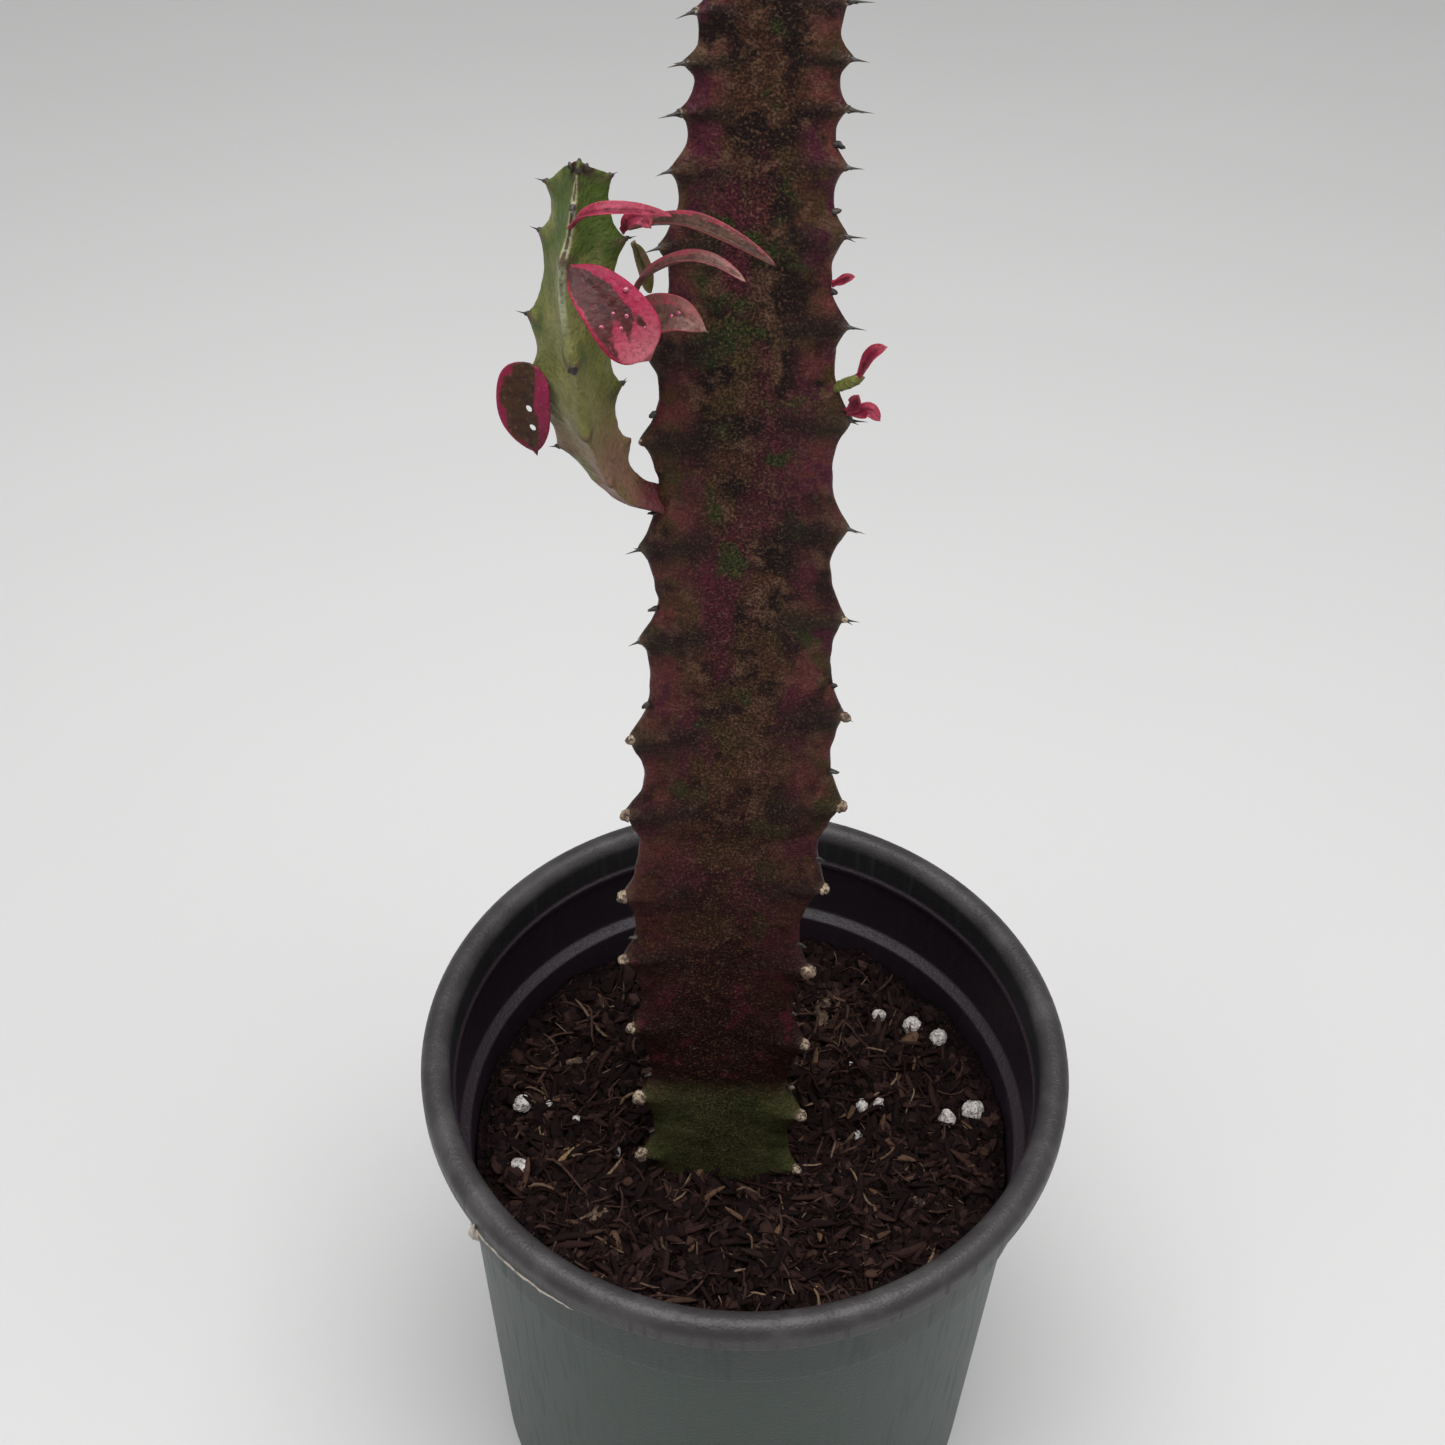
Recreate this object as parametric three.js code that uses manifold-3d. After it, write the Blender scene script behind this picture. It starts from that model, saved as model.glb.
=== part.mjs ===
// A potted euphorbia: one ribbed, toothed stem with a side branch and a few small leaves,
// planted in a round nursery pot. Millimetres, +Z up. The origin is the centre of the pot's
// base on the surface it stands on, and -Y is the front.
import * as THREE from 'three';
import { mergeVertices } from 'three/addons/utils/BufferGeometryUtils.js';
import Module from 'manifold-3d';

const wasm = await Module();
wasm.setup();

// ---------------------------------------------------------------- driving dimensions
const GAP = 0.3; // air between neighbouring pieces

const POT = {
  height: 100,
  rimRadius: 50,
  rimInnerRadius: 45.5,
  lipDrop: 4.6, // how far the rolled lip hangs down outside
  lipThickness: 1.3,
  gutterDepth: 2.4, // the open gutter up behind the lip
  ringDrop: 6.4, // from the rim's top to a small ring moulded inside
  ringHeight: 1.8,
  ringStandsOut: 0.5,
  stepSlope: 0.5, // half the height over which the wall steps in below the collar
  wall: 1.3,
  collarDepth: 20, // from the rim's top to the step below the collar
  collarRadius: 46.8,
  shoulderRadius: 44.9, // outside, just below the step
  baseRadius: 42.5,
  footWidth: 4,
  footHeight: 1.8,
  floorThickness: 1.8,
  drainHoleRadius: 4.5,
  drainCircleRadius: 24,
  drainHoles: 6,
  sides: 40,
};

const SOIL_TOP = 74.6; // mean height of the potting mix above the base
const PLANTING_DEPTH = 22; // how far the stem reaches into the mix

// The stem leans back from the middle of the pot.
const STEM_LEAN = THREE.MathUtils.degToRad(8);
const STEM_FOOT = new THREE.Vector3(-0.2, -8, SOIL_TOP + 0.4); // on the front face, at the mix
const STEM_LENGTH = 199; // above the mix, to the growing tip
// [distance along the stem, sideways offset of its middle, half width between the teeth]
const STEM_OUTLINE = [
  [-PLANTING_DEPTH, -3.2, 8.4],
  [0, -3.2, 10.1],
  [20, -3.3, 10.5],
  [48, -4.4, 11.5],
  [80, -2.4, 12.7],
  [105, -2.1, 11.2],
  [138, -2.6, 10.4],
  [160, -2.2, 8.7],
  [181, -1.1, 7.5],
  [190, -0.7, 6],
  [196, -0.5, 3.5],
  [STEM_LENGTH, -0.4, 1.4],
];
// Distances along the stem at which the teeth stand, lowest first.
const LEFT_TEETH = [5, 18, 33, 47, 59, 74, 87, 103, 117, 132, 144, 157, 166, 172.5, 178, 183.5, 188.5, 193];
const RIGHT_TEETH = [3, 15.5, 31, 46, 62, 77, 92, 107.5, 121, 136, 148, 159, 167, 173.5, 179, 185, 190, 194];
const BACK_TEETH_RISE = 2.5; // the back rib's teeth stand this much above the mean of the other two
const STEM_TOOTH_HEIGHT = 2.5;

// The branch: [x, y, z] of its middle line, from the stem outwards, with its half width
// between the teeth and its twist in degrees there.
const BRANCH_LINE = [
  [-13, 9.8, 196.2, 1.9, 8],
  [-16.6, 9, 198.2, 2.1, 12],
  [-18.8, 7.6, 202, 2.5, 14],
  [-20.6, 6.4, 207.4, 3.2, 13],
  [-22.2, 5.5, 213.5, 4.3, 12],
  [-22.4, 5, 221, 4.3, 8],
  [-22.2, 5, 231, 4, -12],
  [-21.5, 5.2, 239.2, 3.2, -8],
  [-21.3, 5, 242.6, 2.3, -4],
  [-21.1, 4.2, 245.4, 0.6, -4],
];
const BRANCH_TOOTH_HEIGHT = 1.6;
// Share of the branch's length at which each rib's teeth stand: back left, back right, front.
const BRANCH_TEETH = [
  [0.27, 0.45, 0.6, 0.79, 0.915],
  [0.21, 0.38, 0.585, 0.815, 0.95],
  [0.22, 0.4, 0.58, 0.82, 0.945],
];

const SPINE_RADIUS = 0.42;
const SPINE_LENGTH = 2.1;
const SPINE_ROOT = 0.9; // how deep a spine stands in its tooth
const SPINE_SPREAD = THREE.MathUtils.degToRad(11); // each of a pair, away from the rib's plane
const LEAF_THICKNESS = 0.8;

const COLOURS = {
  stem: { color: '#45302f', roughness: 0.7, metalness: 0 },
  branch: { color: '#5f6a35', roughness: 0.6, metalness: 0 },
  leaf: { color: '#a8395a', roughness: 0.5, metalness: 0 },
  bud: { color: '#5a6a35', roughness: 0.6, metalness: 0 },
  pot: { color: '#4a5450', roughness: 0.5, metalness: 0 },
  mix: { color: '#2a1c1e', roughness: 1, metalness: 0 },
  perlite: { color: '#c9c3be', roughness: 0.95, metalness: 0 },
  bark: { color: '#5b4636', roughness: 0.95, metalness: 0 },
};

// ---------------------------------------------------------------- small helpers
const plant = new THREE.Group();
const lerp = THREE.MathUtils.lerp;

function seededRandom(seed) {
  let state = seed;
  return () => {
    state = (state * 1664525 + 1013904223) % 4294967296;
    return state / 4294967296;
  };
}

// A smooth curve through rows of numbers, read by the value in each row's first column.
function smoothTable(rows) {
  return (position) => {
    const last = rows.length - 1;
    let i = 0;
    while (i < last - 1 && position > rows[i + 1][0]) i += 1;
    const t = (position - rows[i][0]) / (rows[i + 1][0] - rows[i][0]);
    const before = rows[Math.max(i - 1, 0)];
    const after = rows[Math.min(i + 2, last)];
    return rows[i].map((value, column) => {
      const span = rows[i + 1][0] - rows[i][0];
      const tangentIn = ((rows[i + 1][column] - before[column]) * span) / (rows[i + 1][0] - before[0]);
      const tangentOut = ((after[column] - value) * span) / (after[0] - rows[i][0]);
      const t2 = t * t;
      const t3 = t2 * t;
      return (
        (2 * t3 - 3 * t2 + 1) * value +
        (t3 - 2 * t2 + t) * tangentIn +
        (3 * t2 - 2 * t3) * rows[i + 1][column] +
        (t3 - t2) * tangentOut
      );
    });
  };
}

function geometryFrom(points, triangles) {
  const geometry = new THREE.BufferGeometry();
  const positions = points.flatMap((point) => point.toArray());
  geometry.setAttribute('position', new THREE.Float32BufferAttribute(positions, 3));
  geometry.setIndex(triangles);
  return geometry;
}

function toSolid(geometry) {
  const bare = geometry.clone();
  bare.deleteAttribute('normal');
  bare.deleteAttribute('uv');
  const merged = mergeVertices(bare, 1e-4);
  const mesh = new wasm.Mesh({
    numProp: 3,
    vertProperties: new Float32Array(merged.attributes.position.array),
    triVerts: new Uint32Array(merged.index.array),
  });
  return new wasm.Manifold(mesh);
}

function toGeometry(solid) {
  const mesh = solid.getMesh();
  const geometry = new THREE.BufferGeometry();
  geometry.setAttribute('position', new THREE.BufferAttribute(mesh.vertProperties, 3));
  geometry.setIndex(new THREE.BufferAttribute(mesh.triVerts, 1));
  return geometry;
}

function largestPiece(solid) {
  const pieces = solid.decompose();
  return pieces.reduce((a, b) => (a.volume() > b.volume() ? a : b));
}

function addPiece(name, geometry, finish) {
  const mesh = new THREE.Mesh(geometry, new THREE.MeshStandardMaterial(finish));
  mesh.name = name;
  plant.add(mesh);
}

// Joins a stack of closed rings into a closed skin, with a middle point at each end.
function skinRings(rings, startPoint, endPoint) {
  const sides = rings[0].length;
  const points = [...rings.flat(), startPoint, endPoint];
  const start = points.length - 2;
  const end = points.length - 1;
  const triangles = [];
  for (let k = 0; k < sides; k += 1) {
    const next = (k + 1) % sides;
    for (let i = 0; i < rings.length - 1; i += 1) {
      const a = i * sides + k;
      const b = i * sides + next;
      triangles.push(a, b, b + sides, a, b + sides, a + sides);
    }
    const top = (rings.length - 1) * sides;
    triangles.push(start, next, k, end, top + k, top + next);
  }
  return geometryFrom(points, triangles);
}

// ---------------------------------------------------------------- ribbed stems
// Angles from the nearest rib at which a ring is sampled: close together on the rib's edge.
const RING_OFFSETS = [-36, -12, 0, 12, 36].map(THREE.MathUtils.degToRad);
const THIRD_TURN = (2 * Math.PI) / 3;
const TOOTH_WIDTH = THREE.MathUtils.degToRad(13);
const EDGE_ROUNDING = THREE.MathUtils.degToRad(7);
const FACE_HOLLOW = 1.2; // above 1, the faces between the ribs are hollow

// Distance from the middle line to the skin of a three-sided stem, at an angle from a rib.
function ribbedRadius(halfWidth, offRib, toothHeight, phase) {
  const reach = halfWidth / Math.cos(Math.PI / 6);
  const rounded = Math.hypot(offRib, EDGE_ROUNDING);
  const flat = Math.cos(Math.PI / 3 - EDGE_ROUNDING) / Math.cos(Math.PI / 3 - rounded);
  const cusp = (1 - Math.abs(Math.sin(Math.PI * phase))) ** 1.3;
  return reach * flat ** FACE_HOLLOW + toothHeight * cusp * Math.exp(-((offRib / TOOTH_WIDTH) ** 2));
}

function spine(tip, outward, side, length) {
  return [1, -1].map((turn) => {
    const direction = outward.clone().applyAxisAngle(side, turn * SPINE_SPREAD);
    const cone = new THREE.ConeGeometry(SPINE_RADIUS, length, 3);
    cone.translate(0, length / 2, 0);
    cone.applyQuaternion(new THREE.Quaternion().setFromUnitVectors(new THREE.Vector3(0, 1, 0), direction));
    cone.translate(...tip.clone().addScaledVector(direction, -SPINE_ROOT).toArray());
    return toSolid(cone);
  });
}

// The main stem. A ring's height follows the three ribs' own teeth, so that its points
// on each rib pass through that rib's tooth tips.
const stemOutline = smoothTable(STEM_OUTLINE);
const STEM_RIB_ANGLES = [210, 330, 90].map(THREE.MathUtils.degToRad); // left, right, back
const backTeeth = LEFT_TEETH.map((height, i) => (height + RIGHT_TEETH[i]) / 2 + BACK_TEETH_RISE);
const stemRibs = [LEFT_TEETH, RIGHT_TEETH, backTeeth].map((heights) =>
  smoothTable(heights.map((height, index) => [index, height])),
);
const ACROSS = new THREE.Vector3(1, 0, 0);
const ALONG = new THREE.Vector3(0, Math.sin(STEM_LEAN), Math.cos(STEM_LEAN));
const BACKWARD = new THREE.Vector3(0, Math.cos(STEM_LEAN), -Math.sin(STEM_LEAN));
const RINGS_PER_TOOTH = 4;
const LAST_TOOTH = LEFT_TEETH.length - 1;

function stemPoint(height, angle, radius) {
  const [, sideways, halfWidth] = stemOutline(height);
  const depth = halfWidth / Math.cos(Math.PI / 6) / 2;
  return STEM_FOOT.clone()
    .addScaledVector(ALONG, height)
    .addScaledVector(ACROSS, sideways + radius * Math.cos(angle))
    .addScaledVector(BACKWARD, depth + radius * Math.sin(angle));
}

function stemHeightAt(rib, index) {
  if (index < 0) return lerp(stemRibs[rib](0)[1], -PLANTING_DEPTH, -index);
  return stemRibs[rib](index)[1];
}

// The teeth shrink where the stem narrows to its growing tip.
function stemToothHeight(halfWidth) {
  return STEM_TOOTH_HEIGHT * Math.min(1, (halfWidth / 10.4) ** 1.5);
}

function stemRing(index, clearance) {
  const points = [];
  STEM_RIB_ANGLES.forEach((ribAngle, rib) => {
    RING_OFFSETS.forEach((offset) => {
      const neighbour = (rib + (offset > 0 ? 1 : 2)) % 3;
      const share = Math.abs(offset) / THIRD_TURN;
      const height = lerp(stemHeightAt(rib, index), stemHeightAt(neighbour, index), share);
      const [, , halfWidth] = stemOutline(height);
      const tooth = index < 0 ? 0 : stemToothHeight(halfWidth);
      const radius = ribbedRadius(halfWidth, offset, tooth, index) + clearance;
      points.push(stemPoint(height, ribAngle + offset, radius));
    });
  });
  return points;
}

function stemSolid(clearance) {
  const rings = [stemRing(-1, clearance), stemRing(-0.6, clearance), stemRing(-0.2, clearance)];
  for (let i = 0; i <= LAST_TOOTH * RINGS_PER_TOOTH; i += 1) {
    rings.push(stemRing(i / RINGS_PER_TOOTH, clearance));
  }
  const foot = stemPoint(-PLANTING_DEPTH - clearance, 0, 0);
  const tip = stemPoint(STEM_LENGTH + clearance, 0, 0);
  return toSolid(skinRings(rings, foot, tip));
}

// Pairs of spines on every tooth, but not below the mix or where the branch leans on the stem.
function stemSpines() {
  const spines = [];
  STEM_RIB_ANGLES.forEach((ribAngle, rib) => {
    for (let tooth = 0; tooth <= LAST_TOOTH; tooth += 1) {
      const besideBranch = rib === 0 && tooth === 9;
      const height = stemHeightAt(rib, tooth);
      const halfWidth = stemOutline(height)[2];
      const radius = ribbedRadius(halfWidth, 0, stemToothHeight(halfWidth), 0);
      const tip = stemPoint(height, ribAngle, radius);
      const outward = tip.clone().sub(stemPoint(height, ribAngle, 0)).normalize();
      const length = SPINE_LENGTH * lerp(0.8, 1.1, tooth / LAST_TOOTH) + SPINE_ROOT;
      if (!besideBranch) spines.push(...spine(tip, outward, ALONG, length));
    }
  });
  return spines;
}

// The side branch, a smaller stem of the same build on a curved middle line.
const branchCurve = new THREE.CatmullRomCurve3(
  BRANCH_LINE.map(([x, y, z]) => new THREE.Vector3(x, y, z)),
);
const branchShape = smoothTable(
  BRANCH_LINE.map(([, , , halfWidth, twist], i) => [i / (BRANCH_LINE.length - 1), halfWidth, twist]),
);
const BRANCH_RIB_ANGLES = [150, 30, 270].map(THREE.MathUtils.degToRad); // back left, back right, front
const BRANCH_RINGS = 32;

function branchFrame(share) {
  const t = branchCurve.getUtoTmapping(share);
  const middle = branchCurve.getPoint(t);
  const along = branchCurve.getTangent(t);
  const across = new THREE.Vector3().crossVectors(new THREE.Vector3(0, 1, 0), along).normalize();
  const backward = new THREE.Vector3().crossVectors(along, across).normalize();
  const [, halfWidth, twist] = branchShape(t);
  return { middle, along, across, backward, halfWidth, twist: THREE.MathUtils.degToRad(twist) };
}

// How far a share of the length lies from the nearest tooth: 0 on a tooth, 0.5 half way.
function toothPhase(teeth, share) {
  const next = teeth.findIndex((tooth) => tooth >= share);
  if (next === 0) return Math.min(0.5, (teeth[0] - share) / (teeth[1] - teeth[0]));
  if (next < 0) return Math.min(0.5, (share - teeth.at(-1)) / (teeth.at(-1) - teeth.at(-2)));
  return (share - teeth[next - 1]) / (teeth[next] - teeth[next - 1]);
}

function branchPoint(share, rib, offset, clearance) {
  const { middle, across, backward, halfWidth, twist } = branchFrame(share);
  const tooth = BRANCH_TOOTH_HEIGHT * Math.min(1, 0.45 + halfWidth / 6);
  const phase = toothPhase(BRANCH_TEETH[rib], share);
  const radius = ribbedRadius(halfWidth, offset, tooth, phase) + clearance;
  const angle = BRANCH_RIB_ANGLES[rib] + offset + twist;
  return middle
    .clone()
    .addScaledVector(across, radius * Math.cos(angle))
    .addScaledVector(backward, radius * Math.sin(angle));
}

function branchSolid(clearance) {
  const rings = [];
  for (let i = 0; i <= BRANCH_RINGS; i += 1) {
    const share = i / BRANCH_RINGS;
    const ring = [2, 1, 0].flatMap((rib) =>
      RING_OFFSETS.map((offset) => branchPoint(share, rib, offset, clearance)),
    );
    rings.push(ring);
  }
  const foot = branchCurve.getPoint(0);
  const tip = branchCurve.getPoint(1).add(new THREE.Vector3(0, 0, 0.5 + clearance));
  return toSolid(skinRings(rings, foot, tip));
}

function branchSpines() {
  const spines = [];
  BRANCH_TEETH.forEach((teeth, rib) => {
    teeth.forEach((share, index) => {
      if (index === 0 && rib === 1) return; // this tooth lies against the stem
      const { middle, along } = branchFrame(share);
      const tip = branchPoint(share, rib, 0, 0);
      const outward = tip.clone().sub(middle).normalize();
      spines.push(...spine(tip, outward, along, SPINE_LENGTH + SPINE_ROOT));
    });
  });
  return spines;
}

// ---------------------------------------------------------------- leaves
// Each leaf follows a curved midrib from its stalk to its tip. "up" is the way its upper side
// faces, and "fold" is how far its two halves rise from the midrib, as a share of their width.
// "outline" says how bluntly a leaf begins and ends: a small number is a round end.
const LEAVES = [
  {
    name: 'leaf_front_broad',
    midrib: [
      [-21.8, -2.8, 237.3],
      [-19.9, -4.5, 236.6],
      [-17.2, -6.2, 234.7],
      [-14.9, -7.5, 232.2],
      [-13.2, -8, 229.9],
    ],
    width: 7.2,
    up: [0.35, -0.8, 0.5],
    fold: 0.1,
    outline: [0.8, 0.42],
  },
  {
    name: 'leaf_upper_arched',
    midrib: [
      [-21.6, -1.3, 241.1],
      [-20.2, -2.9, 243.3],
      [-18.1, -3.8, 244.5],
      [-14.6, -3, 244.2],
      [-10.9, -1.4, 242.9],
    ],
    width: 1.9,
    up: [-0.1, -0.3, 1],
    fold: 0.6,
  },
  {
    name: 'leaf_long_arched',
    midrib: [
      [-16.2, 7.7, 235.9],
      [-13.2, 6.8, 237.2],
      [-9.3, 4.8, 238.3],
      [-4.9, 2.6, 237.8],
      [0.1, 1, 235.9],
    ],
    width: 2.4,
    up: [0, -0.25, 1],
    fold: 0.8,
  },
  {
    name: 'leaf_short_arched',
    midrib: [
      [-16.2, 7.6, 225.9],
      [-14.3, 5.6, 231.2],
      [-9.7, 2.8, 235.2],
      [-6.4, 1, 235.9],
      [-3.1, 0, 234.5],
    ],
    width: 1.9,
    up: [0, -0.25, 1],
    fold: 0.7,
  },
  {
    name: 'leaf_behind_broad',
    midrib: [
      [-16, 7, 224.9],
      [-13.4, 3, 228],
      [-10.1, 0.2, 229.8],
      [-7.2, -0.8, 228.6],
    ],
    width: 4.5,
    up: [-0.1, -0.75, 0.65],
    fold: 0.2,
    outline: [0.6, 0.85],
  },
  {
    name: 'leaf_low_left',
    midrib: [
      [-27.9, 6.1, 219],
      [-28.4, 5.2, 217],
      [-28.5, 4.4, 213.8],
      [-28, 3.9, 210.8],
      [-27.4, 3.6, 208.2],
    ],
    width: 6.8,
    up: [-0.25, -0.95, 0.1],
    fold: 0.12,
    outline: [0.5, 0.7],
  },
  {
    name: 'leaf_small_curled',
    midrib: [
      [-16.8, 6.5, 236.3],
      [-15.9, 5.6, 238.2],
      [-14.6, 5, 238.9],
      [-13.6, 4.6, 238],
    ],
    width: 2.1,
    up: [0.1, -0.6, 0.8],
    fold: 0.3,
  },
  {
    name: 'leaf_rear_strap',
    midrib: [
      [-15.9, 8.7, 233.6],
      [-15.3, 10.4, 230.6],
      [-14.8, 12, 227.6],
      [-14.2, 13.4, 224.4],
    ],
    width: 2.6,
    up: [0.5, -0.6, 0.6],
    fold: 0.2,
  },
  {
    name: 'leaf_edge_speck',
    midrib: [
      [7.6, 12.4, 227.3],
      [8.3, 11.9, 228],
      [9.2, 11.4, 228.6],
    ],
    width: 1.2,
    up: [-0.4, -0.6, 0.6],
    fold: 0.2,
  },
  {
    name: 'bud_leaf',
    midrib: [
      [10.8, 9.9, 216.8],
      [11.3, 9.3, 218.6],
      [12.1, 8.7, 220.3],
      [13.3, 8.3, 221.3],
    ],
    width: 2.2,
    up: [-0.7, -0.4, 0.6],
    fold: 0.3,
  },
  {
    name: 'edge_leaf_upper',
    midrib: [
      [10.2, 9.2, 212.4],
      [10.3, 8.7, 213.3],
      [10.5, 8.2, 214.6],
    ],
    width: 1.9,
    up: [-0.5, -0.8, 0.2],
    fold: 0.25,
  },
  {
    name: 'edge_leaf_lower',
    midrib: [
      [10.9, 9, 211.7],
      [12, 8.5, 212.3],
      [13.2, 8.1, 211.2],
    ],
    width: 1.9,
    up: [0.1, -0.7, 0.7],
    fold: 0.25,
  },
  {
    name: 'tip_leaf_left',
    midrib: [
      [-5.2, 18.7, 268.9],
      [-6.4, 18.2, 271.8],
      [-8.6, 18, 274.6],
      [-11.4, 17.8, 275.4],
    ],
    width: 4,
    up: [0.8, -0.1, 0.6],
    fold: 0.3,
  },
  {
    name: 'tip_leaf_right',
    midrib: [
      [4, 18.8, 269.4],
      [5.6, 18.2, 272.3],
      [8, 18, 275],
      [10.8, 17.8, 275.8],
    ],
    width: 4,
    up: [-0.8, -0.1, 0.6],
    fold: 0.3,
  },
  {
    name: 'tip_leaf_back',
    midrib: [
      [-0.6, 25.2, 269.8],
      [-0.5, 27.2, 272.8],
      [-0.4, 30, 275],
      [-0.4, 32.8, 275.4],
    ],
    width: 3.8,
    up: [0, -0.8, 0.6],
    fold: 0.3,
  },
];
const LEAF_STEPS = 7;
const LEAF_COLUMNS = [-1, -0.5, 0, 0.5, 1];
const STALK_HALF_WIDTH = 0.45;

const LEAF_OUTLINE = [0.75, 0.6];

// Share of the full width at a share of the length.
function leafOutline(share, [base, tip]) {
  const widest = base / (base + tip);
  return (share / widest) ** base * ((1 - share) / (1 - widest)) ** tip;
}

function leafSolid({ midrib, width, up, fold, outline = LEAF_OUTLINE }) {
  const curve = new THREE.CatmullRomCurve3(midrib.map((point) => new THREE.Vector3(...point)));
  const upper = new THREE.Vector3(...up);
  const rings = [];
  for (let i = 0; i < LEAF_STEPS; i += 1) {
    const share = i / LEAF_STEPS;
    const middle = curve.getPoint(share);
    const along = curve.getTangent(share);
    const side = new THREE.Vector3().crossVectors(upper, along).normalize();
    const normal = new THREE.Vector3().crossVectors(along, side).normalize();
    const stalk = STALK_HALF_WIDTH * (1 - share);
    const halfWidth = Math.max(stalk, (width / 2) * leafOutline(share, outline));
    const thickness = LEAF_THICKNESS * (1 - 0.5 * share);
    const onSheet = (column, offset) =>
      middle
        .clone()
        .addScaledVector(side, column * halfWidth)
        .addScaledVector(normal, fold * Math.abs(column) * halfWidth + offset);
    const upperSide = LEAF_COLUMNS.map((c) => onSheet(c, (thickness / 2) * (1 - 0.75 * c * c)));
    const underSide = LEAF_COLUMNS.map((c) => onSheet(c, (-thickness / 2) * (1 - 0.75 * c * c)));
    rings.push([...upperSide.reverse(), ...underSide]);
  }
  return toSolid(skinRings(rings, curve.getPoint(0), curve.getPoint(1)));
}

// A short green bud on the right rib, with one young leaf at its end.
const BUD_LINE = [[8, 11.8, 213.2], [9.5, 10.8, 214.6], [10.5, 10.1, 215.9]];
const BUD_RADII = [0.9, 1, 0.7];

function budSolid() {
  const curve = new THREE.CatmullRomCurve3(BUD_LINE.map((point) => new THREE.Vector3(...point)));
  const sides = 8;
  const rings = BUD_RADII.map((radius, i) => {
    const middle = curve.getPoint(i / (BUD_RADII.length - 1));
    return Array.from({ length: sides }, (_, k) => {
      const angle = (k / sides) * 2 * Math.PI;
      return middle.clone().add(new THREE.Vector3(radius * Math.cos(angle), radius * Math.sin(angle), 0));
    });
  });
  return toSolid(skinRings(rings, curve.getPoint(0), curve.getPoint(1)));
}

// ---------------------------------------------------------------- pot
function arc(centre, radius, fromDegrees, toDegrees, steps) {
  return Array.from({ length: steps + 1 }, (_, i) => {
    const angle = THREE.MathUtils.degToRad(lerp(fromDegrees, toDegrees, i / steps));
    return new THREE.Vector2(centre.x + radius * Math.cos(angle), centre.y + radius * Math.sin(angle));
  });
}

const STEP_Z = POT.height - POT.collarDepth; // where the wall steps in

// Inside radius of the wall below the step.
function innerRadius(z) {
  return lerp(POT.baseRadius, POT.shoulderRadius, z / STEP_Z) - POT.wall;
}

function potSolid() {
  const { height, rimRadius, rimInnerRadius, lipDrop, lipThickness, footHeight, stepSlope } = POT;
  const floorTop = footHeight + POT.floorThickness;
  const rimRound = (rimRadius - rimInnerRadius) / 2;
  const rimCentre = new THREE.Vector2(rimRadius - rimRound, height - rimRound);
  const gutterTop = height - lipDrop + POT.gutterDepth;
  const ringTop = height - POT.ringDrop;
  const ringFace = rimInnerRadius - POT.ringStandsOut;
  const v = (r, z) => new THREE.Vector2(r, z);
  const profile = [
    v(0, footHeight),
    v(POT.baseRadius - POT.footWidth, footHeight),
    v(POT.baseRadius - POT.footWidth, 0),
    v(POT.baseRadius, 0),
    v(POT.shoulderRadius, STEP_Z - stepSlope),
    v(POT.collarRadius, STEP_Z + stepSlope),
    v(POT.collarRadius, gutterTop),
    v(rimRadius - lipThickness, gutterTop),
    v(rimRadius - lipThickness, height - lipDrop),
    v(rimRadius, height - lipDrop),
    ...arc(rimCentre, rimRound, 0, 180, 8),
    v(rimInnerRadius, ringTop),
    v(ringFace, ringTop - POT.ringStandsOut),
    v(ringFace, ringTop - POT.ringHeight + POT.ringStandsOut),
    v(rimInnerRadius, ringTop - POT.ringHeight),
    v(rimInnerRadius, STEP_Z + stepSlope),
    v(POT.shoulderRadius - POT.wall, STEP_Z - stepSlope),
    v(innerRadius(floorTop), floorTop),
    v(0, floorTop),
  ];
  const turned = new THREE.LatheGeometry(profile, POT.sides);
  turned.rotateX(Math.PI / 2);
  let solid = toSolid(turned);
  for (let i = 0; i <= POT.drainHoles; i += 1) {
    const angle = (i / POT.drainHoles) * 2 * Math.PI;
    const circle = i < POT.drainHoles ? POT.drainCircleRadius : 0;
    const drill = new THREE.CylinderGeometry(POT.drainHoleRadius, POT.drainHoleRadius, 3 * floorTop, 12);
    drill.rotateX(Math.PI / 2);
    drill.translate(circle * Math.cos(angle), circle * Math.sin(angle), floorTop / 2);
    solid = solid.subtract(toSolid(drill));
  }
  return solid;
}

// ---------------------------------------------------------------- potting mix and what lies in it
const SOIL_RADIUS = innerRadius(SOIL_TOP) - GAP;
const SOIL_RINGS = 8;
const SOIL_SIDES = 30;

// Slightly mounded in the middle and lumpy all over.
function soilHeight(x, y) {
  const lumps = 0.7 * Math.sin(x * 0.21 + 1) * Math.cos(y * 0.25) + 0.4 * Math.sin(x * 0.55 - y * 0.4);
  return SOIL_TOP + lumps + 0.8 - Math.hypot(x, y) * 0.03;
}

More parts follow.
